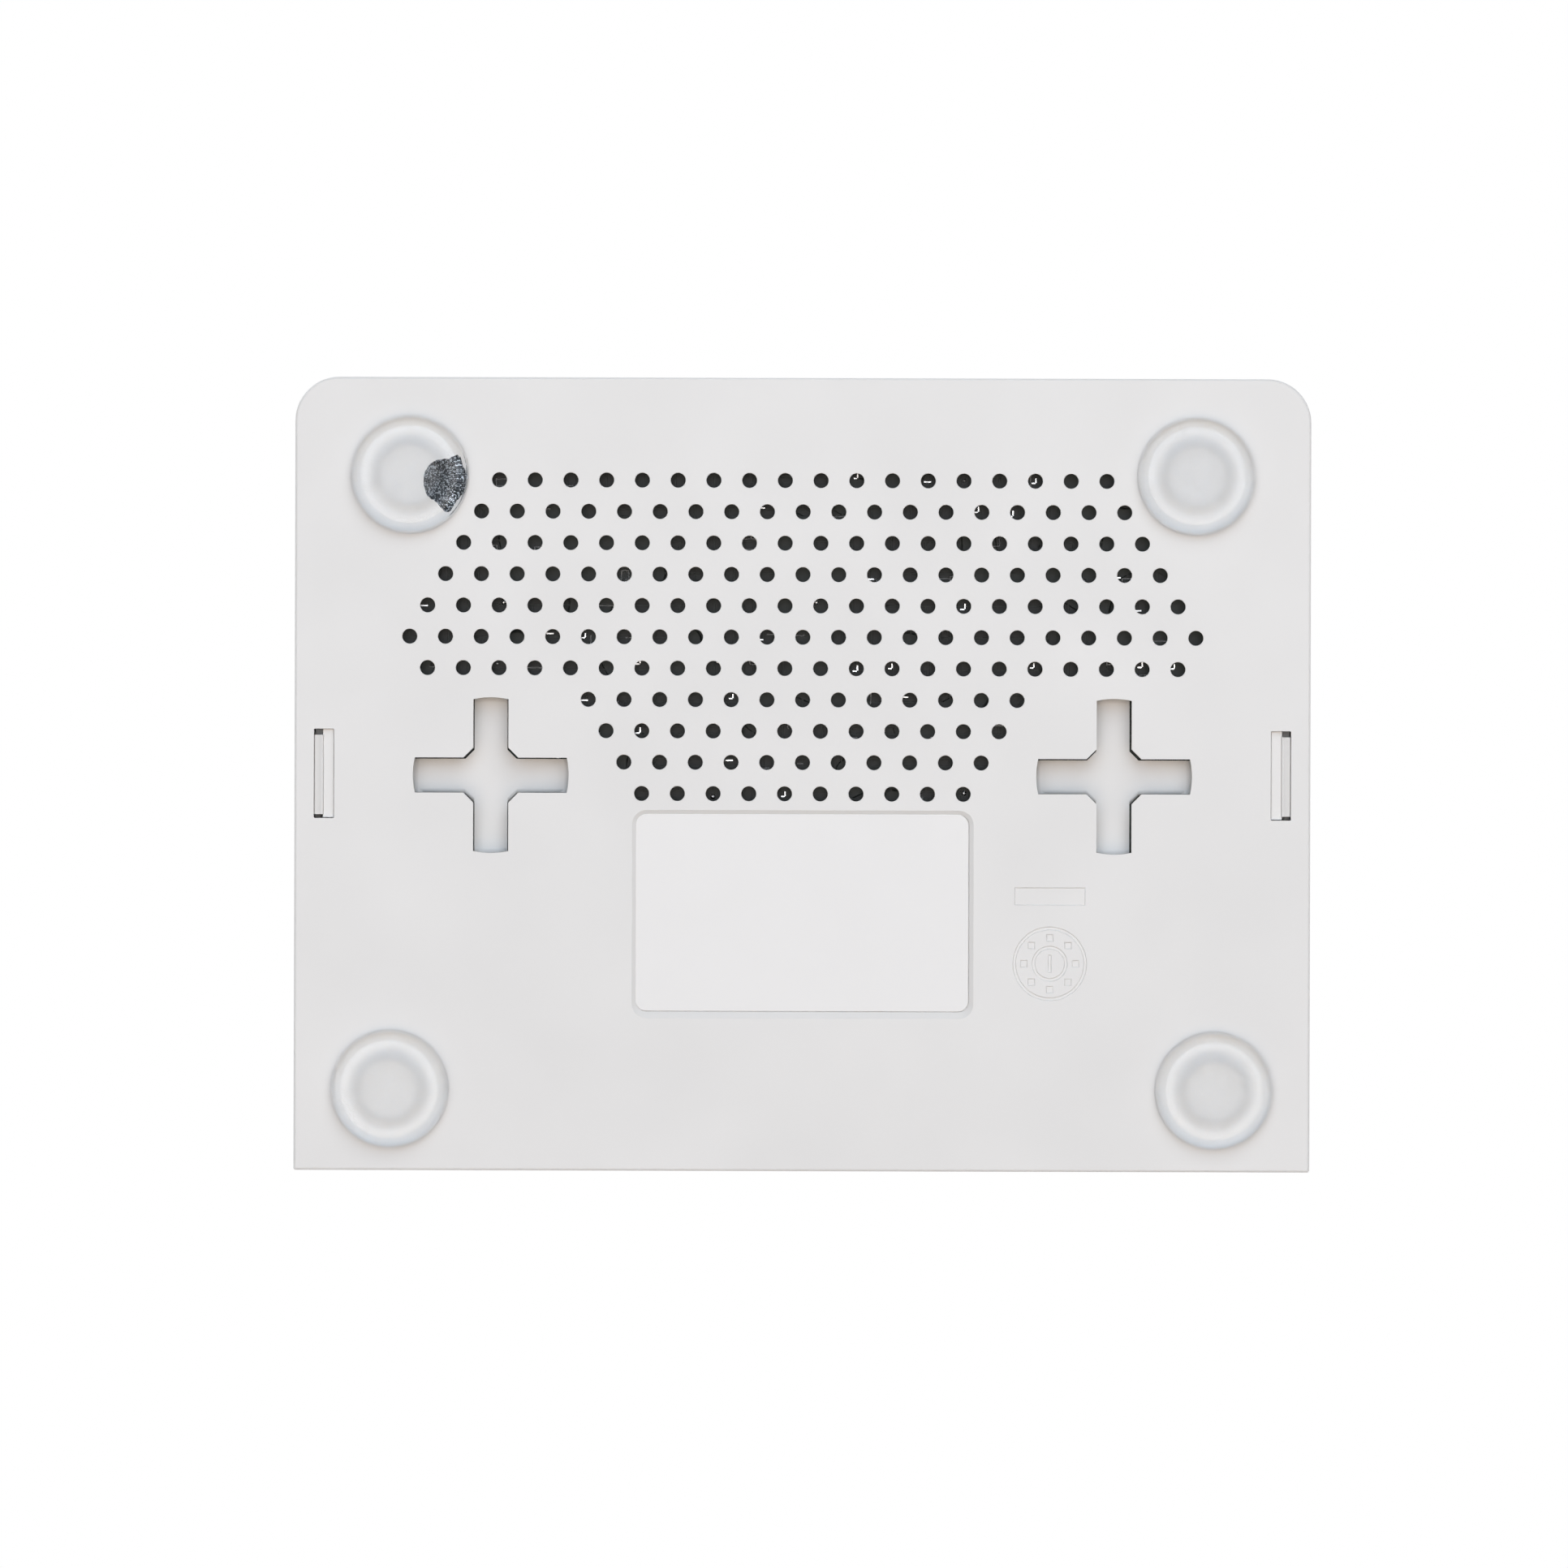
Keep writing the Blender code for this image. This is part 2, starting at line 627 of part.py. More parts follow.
def reset_switch(base, cover):
    """A cap held in the cover's front wall, behind it the switch on the board and its plunger."""
    cap_profile = [
        (0.84 * RESET_RADIUS, 0.2 * MM),
        (RESET_RADIUS, 0.5 * MM),
        (RESET_RADIUS, WALL + GAP),
        (1.5 * RESET_RADIUS, WALL + GAP),
        (1.5 * RESET_RADIUS, WALL + GAP + 0.8 * MM),
        (0.6 * RESET_RADIUS, WALL + GAP + 0.8 * MM),
        (0.6 * RESET_RADIUS, 3.9 * MM),
    ]
    backwards = (math.radians(-90), 0, 0)
    cap = turned("reset_button", cap_profile, 20, white_plastic(), parent=cover)
    cap.location = (RESET_X, FRONT_Y, RESET_Z)
    cap.rotation_euler = backwards

    plunger_profile = [(1.0 * MM, 0.0), (1.2 * MM, 0.2 * MM), (1.2 * MM, 2.6 * MM)]
    plunger = turned("reset_switch_plunger", plunger_profile, 14, black_plastic(), parent=base)
    plunger.location = (RESET_X, FRONT_Y + 4.2 * MM, RESET_Z)
    plunger.rotation_euler = backwards

    front = 5.6 * MM
    low = (RESET_X - 3.1 * MM, FRONT_Y + front, SOCKET_Z)
    high = (RESET_X + 3.1 * MM, FRONT_Y + front + 6.4 * MM, RESET_Z + 3.1 * MM)
    housing = block("reset_switch_housing", low, high, black_plastic(), parent=base)
    well = prism(
        "plunger_well",
        circle(1.5 * MM, 14, (RESET_X, RESET_Z)),
        FRONT_Y + front - 1 * MM,
        FRONT_Y + 4.2 * MM + 2.6 * MM + 0.9 * MM,
        black_plastic(),
        axis="Y",
    )
    cut(housing, well)


def light_guide(parent):
    """A comb of clear arms that carry the board's lights over the jacks to the front windows."""
    paint = clear_acrylic()
    width, thick = LIGHT_GUIDE
    low, high = LED_Z - thick / 2, LED_Z + thick / 2
    leg_front, leg_rear = LED_Y - thick / 2, LED_Y + thick / 2
    arm = rectangle(width / 2, (leg_rear - FRONT_Y - GAP) / 2)
    arm_middle = (leg_rear + FRONT_Y + GAP) / 2
    rail_rear = guide_pegs()[0][1] + 2.2 * MM
    rail = [
        (LED_XS[0] - width / 2 - 1 * MM, leg_front + 0.5 * MM),
        (LED_XS[-1] + width / 2 + 1 * MM, leg_front + 0.5 * MM),
        (LED_XS[-1] + width / 2 + 1 * MM, rail_rear),
        (LED_XS[0] - width / 2 - 1 * MM, rail_rear),
    ]
    guide = prism("light_guide", rail, low + 0.1 * MM, high - 0.1 * MM, paint, parent=parent)
    arms = [(moved(arm, x, arm_middle), low, high, "Z") for x in LED_XS]
    leg = rectangle(width / 2 - 0.1 * MM, thick / 2 - 0.05 * MM)
    legs = [(moved(leg, x, LED_Y), BOARD_TOP + 1.6 * MM, high - 0.3 * MM, "Z") for x in LED_XS]
    weld(guide, prisms("guide_arms", arms, paint), prisms("guide_legs", legs, paint))
    holes = [(circle(1.2 * MM + GAP, 12, at), low - 1 * MM, high + 1 * MM, "Z") for at in guide_pegs()]
    cut(guide, prisms("guide_holes", holes, paint))


def leds(parent):
    bm = bmesh.new()
    add_prism(bm, rectangle(0.8 * MM, 0.4 * MM), SEAT, 0.9 * MM)
    led = add_object("led", bm, material("led_lens", (0.8, 0.85, 0.7), 0.3))
    copies(led, {f"led_{i + 1}": (x, LED_Y, BOARD_TOP) for i, x in enumerate(LED_XS)}, parent)


def on_board(name, size, place, paint, parent, lift=SEAT):
    """A plain block-shaped component, given by its size and the middle of its footprint."""
    low = (-size[0] / 2, -size[1] / 2, lift)
    high = (size[0] / 2, size[1] / 2, lift + size[2])
    at = (place[0], place[1], BOARD_TOP)
    return block(name, low, high, paint, location=at, parent=parent)


def heat_sink(parent, place, low):
    """A finned block: a plate with seven fins, drawn from the side and swept along Y."""
    half, plate, top = 10.0 * MM, 1.6 * MM, 7.5 * MM
    fins, fin = 7, 1.1 * MM
    pitch = (2 * half - fin) / (fins - 1)
    outline = [(-half, 0.0), (half, 0.0)]
    for i in reversed(range(fins)):
        left = -half + i * pitch
        outline += [(left + fin, plate), (left + fin, top), (left, top), (left, plate)]
    outline = [p for k, p in enumerate(outline) if k not in (2, len(outline) - 1)]
    at = (*place, BOARD_TOP + low)
    prism("heat_sink", outline, -half, half, aluminium(), axis="Y", location=at, parent=parent)


def processor_stack(parent):
    place = (3.0 * MM, 7.0 * MM)
    chip, pad = 1.2 * MM, 0.5 * MM
    on_board("processor", (17 * MM, 17 * MM, chip), place, chip_epoxy(), parent)
    pad_low = chip + 2 * SEAT
    on_board("thermal_pad", (15 * MM, 15 * MM, pad), place, grey_pad(), parent, lift=pad_low)
    heat_sink(parent, place, pad_low + pad + SEAT)


def radio_shield(parent):
    """A folded tin can, open underneath, over the radio chip."""
    half_x, half_y, height, sheet = 12 * MM, 8.5 * MM, 2.8 * MM, 0.3 * MM
    levels = [(height - sheet, sheet), (SEAT, sheet), (SEAT, 0.0), (height - sheet, 0.0), (height, sheet)]

    def outline(inset):
        return rectangle(half_x - inset, half_y - inset, 0.8 * MM - inset, 3)

    at = (3.0 * MM, 28.5 * MM, BOARD_TOP)
    lofted("radio_shield", levels, outline, tin_plate(), location=at, parent=parent)
    on_board("radio_chip", (9 * MM, 9 * MM, 0.9 * MM), (3.0 * MM, 28.5 * MM), chip_epoxy(), parent)


def antennas(parent):
    """Stamped inverted-F aerials that stand along the board's two side edges."""
    side_view = [
        (-11, 0.1),
        (-9, 0.1),
        (-9, 3.4),
        (-5.5, 3.4),
        (-5.5, 0.1),
        (-4, 0.1),
        (-4, 3.4),
        (11, 3.4),
        (11, 7.2),
        (-11, 7.2),
    ]
    outline = [(y * MM, z * MM) for y, z in side_view]
    for name, side in (("antenna_left", -1), ("antenna_right", 1)):
        at = (side * 49.8 * MM, 16.5 * MM, BOARD_TOP)
        half = 0.25 * MM
        prism(name, outline, -half, half, tin_plate(), axis="X", location=at, parent=parent)


def capacitors(parent):
    """Two upright electrolytic cans with a crimped groove."""
    profile = [
        (2.9 * MM, SEAT),
        (3.15 * MM, 0.4 * MM),
        (3.15 * MM, 1.2 * MM),
        (2.9 * MM, 1.6 * MM),
        (3.15 * MM, 2.0 * MM),
        (3.15 * MM, 9.2 * MM),
        (2.8 * MM, 9.5 * MM),
    ]
    can = turned("capacitor", profile, 16, material("capacitor_sleeve", (0.03, 0.04, 0.08), 0.35))
    places = {
        "capacitor_1": (-40.6 * MM, -15.5 * MM, BOARD_TOP),
        "capacitor_2": (-40.0 * MM, -8.0 * MM, BOARD_TOP),
    }
    copies(can, places, parent)


def small_parts(parent):
    epoxy = chip_epoxy()
    on_board("memory_chip", (10.5 * MM, 13.3 * MM, 1.0 * MM), (-17 * MM, 9 * MM), epoxy, parent)
    on_board("flash_chip", (5.3 * MM, 7.9 * MM, 1.8 * MM), (-18 * MM, 27 * MM), epoxy, parent)
    for name, x in (("wan_transformer", -27.7), ("lan_transformer_1", -1.5), ("lan_transformer_2", 26.0)):
        on_board(name, (17.5 * MM, 9.5 * MM, 5.4 * MM), (x * MM, -13.2 * MM), black_plastic(), parent)

    inductor = rectangle(3.5 * MM, 3.5 * MM, 1.0 * MM, 3)
    at = (-48.0 * MM, 2.0 * MM, BOARD_TOP)
    ferrite = material("ferrite", (0.08, 0.08, 0.085), 0.55)
    prism("inductor", inductor, SEAT, 4.2 * MM, ferrite, location=at, parent=parent)

    can = rectangle(5.4 * MM, 2.2 * MM, 2.1 * MM, 5)
    at = (24.0 * MM, 6.0 * MM, BOARD_TOP)
    prism("crystal", can, SEAT, 3.5 * MM, tin_plate(), location=at, parent=parent)


# ---------------------------------------------------------------- assembly
def group_frame(name):
    frame = bpy.data.objects.new(name, None)
    bpy.context.scene.collection.objects.link(frame)
    return frame


def build():
    clear_scene()
    base = group_frame("base_frame")
    cover = group_frame("cover_frame")
    base_cover(base)
    feet(base)
    rating_label(base)
    circuit_board(base)
    board_screws(base)
    ethernet_jacks(base)
    ethernet_contacts(base)
    power_jack(base)
    usb_socket(base)
    processor_stack(base)
    radio_shield(base)
    antennas(base)
    capacitors(base)
    small_parts(base)
    leds(base)
    top_cover(cover)
    light_guide(cover)
    reset_switch(base, cover)


build()
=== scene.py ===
"""Looks of the desktop router: fine shells, clear feet, the board and its parts, materials, light and camera.

Shapes are worked out in millimetres and stored in metres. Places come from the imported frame.
"""

import math
import random

import bmesh
import bpy
from mathutils import Matrix, Vector


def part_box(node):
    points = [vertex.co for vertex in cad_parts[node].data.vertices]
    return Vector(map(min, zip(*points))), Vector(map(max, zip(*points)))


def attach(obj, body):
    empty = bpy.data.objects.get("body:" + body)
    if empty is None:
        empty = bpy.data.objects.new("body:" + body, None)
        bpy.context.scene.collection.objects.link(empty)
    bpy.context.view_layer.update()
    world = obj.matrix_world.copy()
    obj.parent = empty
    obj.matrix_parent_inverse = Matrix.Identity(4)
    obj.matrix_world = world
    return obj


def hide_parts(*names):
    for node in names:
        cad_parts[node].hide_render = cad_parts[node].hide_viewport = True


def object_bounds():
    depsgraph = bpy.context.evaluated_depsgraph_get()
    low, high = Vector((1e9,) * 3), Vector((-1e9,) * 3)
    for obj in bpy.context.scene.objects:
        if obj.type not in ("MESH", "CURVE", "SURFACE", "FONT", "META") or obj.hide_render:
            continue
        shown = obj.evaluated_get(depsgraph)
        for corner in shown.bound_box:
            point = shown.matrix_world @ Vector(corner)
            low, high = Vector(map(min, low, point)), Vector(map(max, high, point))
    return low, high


MM = 0.001
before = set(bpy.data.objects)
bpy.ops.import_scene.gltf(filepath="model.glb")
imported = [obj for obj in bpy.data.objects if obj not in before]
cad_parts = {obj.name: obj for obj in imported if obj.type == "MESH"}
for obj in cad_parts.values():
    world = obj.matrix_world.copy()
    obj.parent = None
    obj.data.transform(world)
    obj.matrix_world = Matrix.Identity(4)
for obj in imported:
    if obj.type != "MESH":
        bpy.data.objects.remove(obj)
cad_bounds = [list(corner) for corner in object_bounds()]


def box(node):
    """Lowest and highest corner of a CAD node, in millimetres."""
    low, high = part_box(node)
    return low / MM, high / MM


def middle(node):
    low, high = box(node)
    return (low + high) / 2


# ---------------------------------------------------------------- sizes, in millimetres
HALF_X, HALF_Y, TOP_Z = Vector(cad_bounds[1]) / MM
BASE_LOW, BASE_HIGH = box("base_cover")
BASE_Z = BASE_LOW.z
WALL = 2.0
FLOOR = 1.8
FLOOR_Z = BASE_Z + FLOOR
TONGUE = 1.4
LAP = 1.2
GAP = 0.3
SEAM_Z = BASE_HIGH.z - TONGUE
FRONT_INSIDE_Y = -HALF_Y + WALL
REAR_CORNER = 5.0
FRONT_CORNER = 0.35
BASE_EDGE = 0.3
DRAFT = 0.12  # by how much the base narrows towards its underside
TOP_EDGE = 2.6
FLOOR_REACH = 4000.0  # half the side of the studio's floor

VENT_RADIUS = 0.83
VENT_PITCH = (3.98, 3.49)
VENT_FIRST_Y = 32.75
VENT_ROWS = (18, 19, 20, 21, 22, 23, 22, 13, 12, 11, 10)

WALL_SLOT_X = 34.72
WALL_SLOT_Y = -0.15
WALL_SLOT_REACH = 8.68
WALL_SLOT_HALF = 1.96
WALL_SLOT_CHAMFER = 1.1
BRIDGE_Z = BASE_Z + 4.4
BRIDGE_THICK = 1.0
# outside and inside of each bridge, by its side of the case
BRIDGE_GAPS = {1: (0.05, 0.18), -1: (0.14, 0.05)}

CLIP_X = 53.3
CLIP_SLOT = (2.26, 9.95)

RECESS_HALF_X = 19.0
RECESS_REAR = -4.0
RECESS_FRONT = -27.15
RECESS_CORNER = 1.6
LABEL_HALF = (18.53, 10.98)

DIAL_AT = (-27.6, -21.0)
DIAL_RINGS = ((3.85, 4.05), (1.7, 1.9))
DIAL_TICKS = 8
DIAL_TICK_REACH = 2.88
TAG_OFFSET = 7.5
MARK_DEPTH = 0.12
MARK_SLOPE = 0.16

SIDE_VENTS = 8  # to a side
SIDE_VENT_PITCH = 3.6
SIDE_VENT_FIRST_Y = 10.0
SIDE_VENT_Z = 18.8
SIDE_VENT_HALF = (0.8, 3.5)
SIDE_VENT_CORNER = 0.7

LABEL_LOW, LABEL_HIGH = box("rating_label")
LABEL_MIDDLE = middle("rating_label")
BOARD_LOW, BOARD_HIGH = box("circuit_board")
BOARD_TOP = BOARD_HIGH.z

LEDS = [middle(f"led_{i + 1}") for i in range(7)]
JACKS = [f"ethernet_jack_{i + 1}" for i in range(5)]
SCREWS = [f"board_screw_{i + 1}" for i in range(4)]
FEET = ["foot_front_left", "foot_front_right", "foot_rear_left", "foot_rear_right"]
ON_BOARD = [
    "processor",
    "memory_chip",
    "flash_chip",
    "radio_chip",
    "radio_shield",
    "crystal",
    "inductor",
    "capacitor_1",
    "capacitor_2",
    "wan_transformer",
    "lan_transformer_1",
    "lan_transformer_2",
    "reset_switch_housing",
    "antenna_left",
    "antenna_right",
    "power_jack",
    "usb_shell",
    *JACKS,
    *SCREWS,
    *[f"led_{i + 1}" for i in range(7)],
]
# half sizes of the tinned strips that make up a pad
PAD_STRIPS = (((0.4, 0.07),), ((0.07, 0.35), (0.3, 0.07)), ((0.25, 0.06), (0.06, 0.3)))
# chip: the pitch of its leads and how many there are to a side
CHIPS = {"processor": (0.5, 32), "memory_chip": (0.8, 14), "flash_chip": (1.27, 4)}

# ---------------------------------------------------------------- light and camera, in metres
WORLD_ABOVE = 0.68  # light from above the horizon
WORLD_ABOVE_COLOUR = (0.98, 0.995, 1.02)
WORLD_ROUND = 0.1  # light from every side below it
WORLD_FACING = 5.3  # and what is added straight below, fading with a power of the height
WORLD_FACING_POWER = 16.0
WORLD_BLEND = 0.55  # how far below the horizon the light from above has faded out
WORLD_HUE_FROM, WORLD_HUE_FULL = 0.5, 0.85  # how steeply below the horizon the hues start, and are full
WORLD_HUES = (
    # how far the direction leans to the rear, and the light's colour there
    (-0.42, (1.1, 0.8, 0.57)),
    (-0.1, (1.07, 0.965, 0.85)),
    (0.12, (1.02, 1.105, 1.24)),
    (0.42, (0.73, 1.11, 1.54)),
)
LIGHTS = {
    # name: place, size in metres, watts, colour
    "key_below": ((-0.06, 0.25, -0.37), 0.3, 0.4, (0.97, 0.99, 1.0)),
    "key_above": ((-0.45, -0.5, 0.75), 0.5, 3.4, (0.97, 0.985, 1.0)),
    "rim_above": ((0.6, 0.55, 0.5), 0.4, 1.6, (0.94, 0.97, 1.0)),
}
CAMERA_DISTANCE = 1.5  # from the underside, in metres
FRAME_WIDTH = 0.17465  # what the frame spans at the underside, in metres
CAMERA_AT = (0.00205, -0.00105)
CAMERA_ROLL = 0.16  # in degrees


# ---------------------------------------------------------------- node helpers
def principled(name, colour, roughness, **sockets):
    """A new material. Socket names are given with underscores for spaces."""
    made = bpy.data.materials.new(name)
    made.use_nodes = True
    shader = made.node_tree.nodes["Principled BSDF"]
    shader.inputs["Base Color"].default_value = (*colour, 1.0)
    shader.inputs["Roughness"].default_value = roughness
    for socket, value in sockets.items():
        shader.inputs[socket.replace("_", " ")].default_value = value
    made.diffuse_color = (*colour, 1.0)
    return made


def node(owner, kind, inputs=None, **settings):
    """A new shader node of a material or world. An input is a value, or another node's output to link."""
    made = owner.node_tree.nodes.new(kind)
    for key, value in settings.items():
        setattr(made, key, value)
    for key, value in (inputs or {}).items():
        if isinstance(value, bpy.types.NodeSocket):
            owner.node_tree.links.new(value, made.inputs[key])
        else:
            made.inputs[key].default_value = value
    return made


def shader_of(paint):
    return paint.node_tree.nodes["Principled BSDF"]


def plug(paint, output, socket):
    paint.node_tree.links.new(output, shader_of(paint).inputs[socket])


def place_of(paint):
    return node(paint, "ShaderNodeTexCoord").outputs["Object"]


def noise(paint, per_mm, detail=2.0, rough=0.5, stretch=(1, 1, 1)):
    """Noise with about per_mm features to the millimetre."""
    place = place_of(paint)
    if stretch != (1, 1, 1):
        place = node(paint, "ShaderNodeVectorMath", {0: place, 1: stretch}, operation="MULTIPLY").outputs[0]
    inputs = {"Vector": place, "Scale": per_mm / MM, "Detail": detail, "Roughness": rough}
    return node(paint, "ShaderNodeTexNoise", inputs).outputs["Fac"]


def ramp(owner, factor, stops):
    """A colour ramp through (place, colour) stops."""
    made = node(owner, "ShaderNodeValToRGB", {"Fac": factor})
    elements = made.color_ramp.elements
    while len(elements) < len(stops):
        elements.new(0.5)
    for element, (place, colour) in zip(elements, stops):
        element.position = place
        element.color = (*colour, 1.0)
    return made.outputs["Color"]


def grey(value):
    return (value, value, value)


def bump(paint, height, depth_mm, strength=1.0):
    """Adds relief under any that the shader already has."""
    shader = shader_of(paint)
    inputs = {"Height": height, "Strength": strength, "Distance": depth_mm * MM}
    if shader.inputs["Normal"].is_linked:
        inputs["Normal"] = shader.inputs["Normal"].links[0].from_socket
    plug(paint, node(paint, "ShaderNodeBump", inputs).outputs["Normal"], "Normal")


def vary(paint, socket, factor, low, high):
    """Drives a shader number between low and high."""
    inputs = {"Value": factor, "From Min": 0.3, "From Max": 0.7, "To Min": low, "To Max": high}
    plug(paint, node(paint, "ShaderNodeMapRange", inputs).outputs["Result"], socket)


def tint(paint, factor, low, high):
    """Drives the base colour between two colours."""
    plug(paint, ramp(paint, factor, ((0.35, low), (0.65, high))), "Base Color")


# ---------------------------------------------------------------- materials
def case_plastic():
    """White ABS from a spark-eroded mould: a fine even grain and a faint cloudiness."""
    paint = principled("case_plastic", (0.797, 0.785, 0.765), 0.42, IOR=1.46)
    tint(paint, noise(paint, 0.03, 3.0), (0.79, 0.778, 0.759), (0.804, 0.792, 0.773))
    vary(paint, "Roughness", noise(paint, 0.08, 2.0), 0.38, 0.46)
    bump(paint, noise(paint, 5.0, 2.0, 0.6), 0.012, 0.35)
    bump(paint, noise(paint, 0.15, 1.0), 0.02, 0.12)
    return paint


def clear_rubber():
    paint = principled("clear_rubber", (0.985, 0.995, 1.0), 0.0, Transmission_Weight=1.0, IOR=1.27)
    bump(paint, noise(paint, 0.5, 1.0), 0.02, 0.15)
    return paint


def clear_acrylic():
    paint = principled("clear_acrylic", (0.86, 0.88, 0.88), 0.3, Transmission_Weight=0.5, IOR=1.49)
    bump(paint, noise(paint, 1.5, 1.0), 0.02, 0.15)
    return paint


def label_paper():
    paint = principled("label_paper", (0.873, 0.86, 0.843), 0.5)
    tint(paint, noise(paint, 0.12, 4.0), (0.868, 0.855, 0.838), (0.878, 0.865, 0.848))
    bump(paint, noise(paint, 8.0, 3.0, 0.7), 0.006, 0.3)
    return paint


def speckled_paint(name, shade):
    """Grey metallic ink, full of fine flakes. Shade scales how light it is; a lighter copy is used as painted
    light.
    """
    base = (0.06 * shade, 0.07 * shade, 0.08 * shade)
    paint = principled(name, base, 0.5, Metallic=0.1, Specular_IOR_Level=0.2)
    cells = {"Vector": place_of(paint), "Scale": 9.0 / MM}
    flake = node(paint, "ShaderNodeTexVoronoi", cells).outputs["Color"]
    stops = ((0.35, (0.012, 0.015, 0.018)), (0.6, (0.07, 0.08, 0.09)), (0.74, (0.4, 0.44, 0.48)))
    stops = [(place, tuple(shade * channel for channel in colour)) for place, colour in stops]
    plug(paint, ramp(paint, flake, stops), "Base Color")
    bump(paint, noise(paint, 9.0, 2.0), 0.03, 0.5)
    return paint


def board_laminate():
    """Dark solder mask over copper: tracks and fills show as a slightly lighter relief."""
    paint = principled("board_laminate", (0.012, 0.02, 0.016), 0.32, IOR=1.35)
    tracks = []
    for angle, width, row in ((0, 5.5, 0.9), (90, 7.0, 1.1)):
        turn = {"Vector": place_of(paint), "Rotation": (0, 0, math.radians(angle)), "Scale": grey(1 / MM)}
        inputs = {
            "Vector": node(paint, "ShaderNodeMapping", turn).outputs["Vector"],
            "Color1": (0, 0, 0, 1),
            "Color2": (0, 0, 0, 1),
            "Mortar": (1, 1, 1, 1),
            "Scale": 1.0,
            "Mortar Size": 0.11,
            "Brick Width": width,
            "Row Height": row,
        }
        tracks.append(node(paint, "ShaderNodeTexBrick", inputs).outputs["Color"])
    region = ramp(paint, noise(paint, 0.09, 1.0), ((0.49, grey(0)), (0.51, grey(1))))
    # the Mix node's colours are its inputs 6 and 7, and its output 2
    mixed = node(paint, "ShaderNodeMix", {0: region, 6: tracks[0], 7: tracks[1]}, data_type="RGBA").outputs[2]
    fills = ramp(paint, noise(paint, 0.16, 0.0), ((0.56, grey(0)), (0.57, grey(1))))
    height = node(paint, "ShaderNodeMath", {0: mixed, 1: fills}, operation="MAXIMUM").outputs[0]
    stops = ((0.0, (0.008, 0.014, 0.011)), (1.0, (0.02, 0.034, 0.026)))
    plug(paint, ramp(paint, height, stops), "Base Color")
    bump(paint, height, 0.035, 0.6)
    return paint


def satin_black(name, value=0.018, roughness=0.38):
    paint = principled(name, (value, value, value * 1.05), roughness)
    vary(paint, "Roughness", noise(paint, 0.7, 3.0), roughness - 0.06, roughness + 0.08)
    bump(paint, noise(paint, 6.0, 2.0), 0.01, 0.3)
    return paint


def chip_epoxy():
    paint = principled("chip_epoxy", (0.028, 0.028, 0.03), 0.6)
    tint(paint, noise(paint, 2.5, 4.0), (0.022, 0.022, 0.024), (0.036, 0.036, 0.038))
    bump(paint, noise(paint, 12.0, 2.0), 0.012, 0.5)
    return paint


def metal(name, colour, roughness, brushed=(1, 1, 1)):
    paint = principled(name, colour, roughness, Metallic=1.0)
    vary(paint, "Roughness", noise(paint, 1.2, 4.0, 0.6, brushed), roughness - 0.08, roughness + 0.12)
    dark = tuple(0.86 * c for c in colour)
    tint(paint, noise(paint, 0.25, 4.0, 0.6), dark, colour)
    bump(paint, noise(paint, 4.0, 2.0, 0.5, brushed), 0.008, 0.3)
    return paint


def thermal_pad_paint():
    paint = principled("thermal_pad", (0.36, 0.45, 0.6), 0.85)
    tint(paint, noise(paint, 0.8, 3.0), (0.33, 0.42, 0.57), (0.4, 0.48, 0.63))
    return paint


def sleeve_paint():
    paint = principled("capacitor_sleeve", (0.02, 0.028, 0.07), 0.32)
    tint(paint, noise(paint, 0.5, 2.0), (0.017, 0.024, 0.06), (0.024, 0.033, 0.08))
    return paint


def ferrite_paint():
    paint = principled("ferrite", (0.07, 0.07, 0.075), 0.6)
    tint(paint, noise(paint, 3.0, 4.0), (0.05, 0.05, 0.055), (0.1, 0.1, 0.105))
    bump(paint, noise(paint, 6.0, 3.0), 0.03, 0.6)
    return paint


def led_paint():
    paint = principled("led_lens", (0.86, 0.9, 0.66), 0.25, Transmission_Weight=0.4)
    tint(paint, noise(paint, 3.0, 2.0), (0.83, 0.88, 0.62), (0.9, 0.92, 0.72))
    return paint


def ink(name, value):
    paint = principled(name, grey(value), 0.6)
    tint(paint, noise(paint, 6.0, 3.0), grey(0.93 * value), grey(value))
    return paint


def ceramic_paint():
    paint = principled("chip_ceramic", (0.42, 0.3, 0.2), 0.5)
    tint(paint, noise(paint, 1.3, 1.0), (0.3, 0.2, 0.13), (0.5, 0.38, 0.27))
    return paint


CASE = case_plastic()
RUBBER = clear_rubber()
ACRYLIC = clear_acrylic()
PAPER = label_paper()
SPECKLE = speckled_paint("speckled_ink", 1.0)
# a lighter copy of the ink, used as painted light under a foot's shoulder
PAINTED_LIGHT_INK = speckled_paint("speckled_ink_painted_light", 2.3)
BOARD = board_laminate()
BLACK = satin_black("black_plastic")
EPOXY = chip_epoxy()
TIN = metal("tin_plate", (0.72, 0.72, 0.7), 0.3, (1, 6, 1))
GOLD = metal("gold_plate", (0.86, 0.63, 0.25), 0.22)
SOLDER = metal("solder", (0.74, 0.75, 0.76), 0.25)
STEEL = metal("screw_steel", (0.62, 0.62, 0.6), 0.32)
SINK = metal("heat_sink_metal", (0.5, 0.51, 0.53), 0.38, (1, 8, 1))
PAD = thermal_pad_paint()
SLEEVE = sleeve_paint()
FERRITE = ferrite_paint()
LED = led_paint()
SILK = ink("silkscreen", 0.8)
CERAMIC = ceramic_paint()


# ---------------------------------------------------------------- mesh helpers
def built(name, fill, paint=None, smooth=35):
    """A new object from a function that fills a bmesh in millimetres."""
    bm = bmesh.new()
    fill(bm)
    bmesh.ops.recalc_face_normals(bm, faces=bm.faces)
    bmesh.ops.scale(bm, vec=(MM, MM, MM), verts=bm.verts)
    mesh = bpy.data.meshes.new(name)
    bm.to_mesh(mesh)
    bm.free()
    mesh.materials.append(paint or CASE)
    made = bpy.data.objects.new(name, mesh)
    bpy.context.scene.collection.objects.link(made)
    soften(made, smooth)
    return made


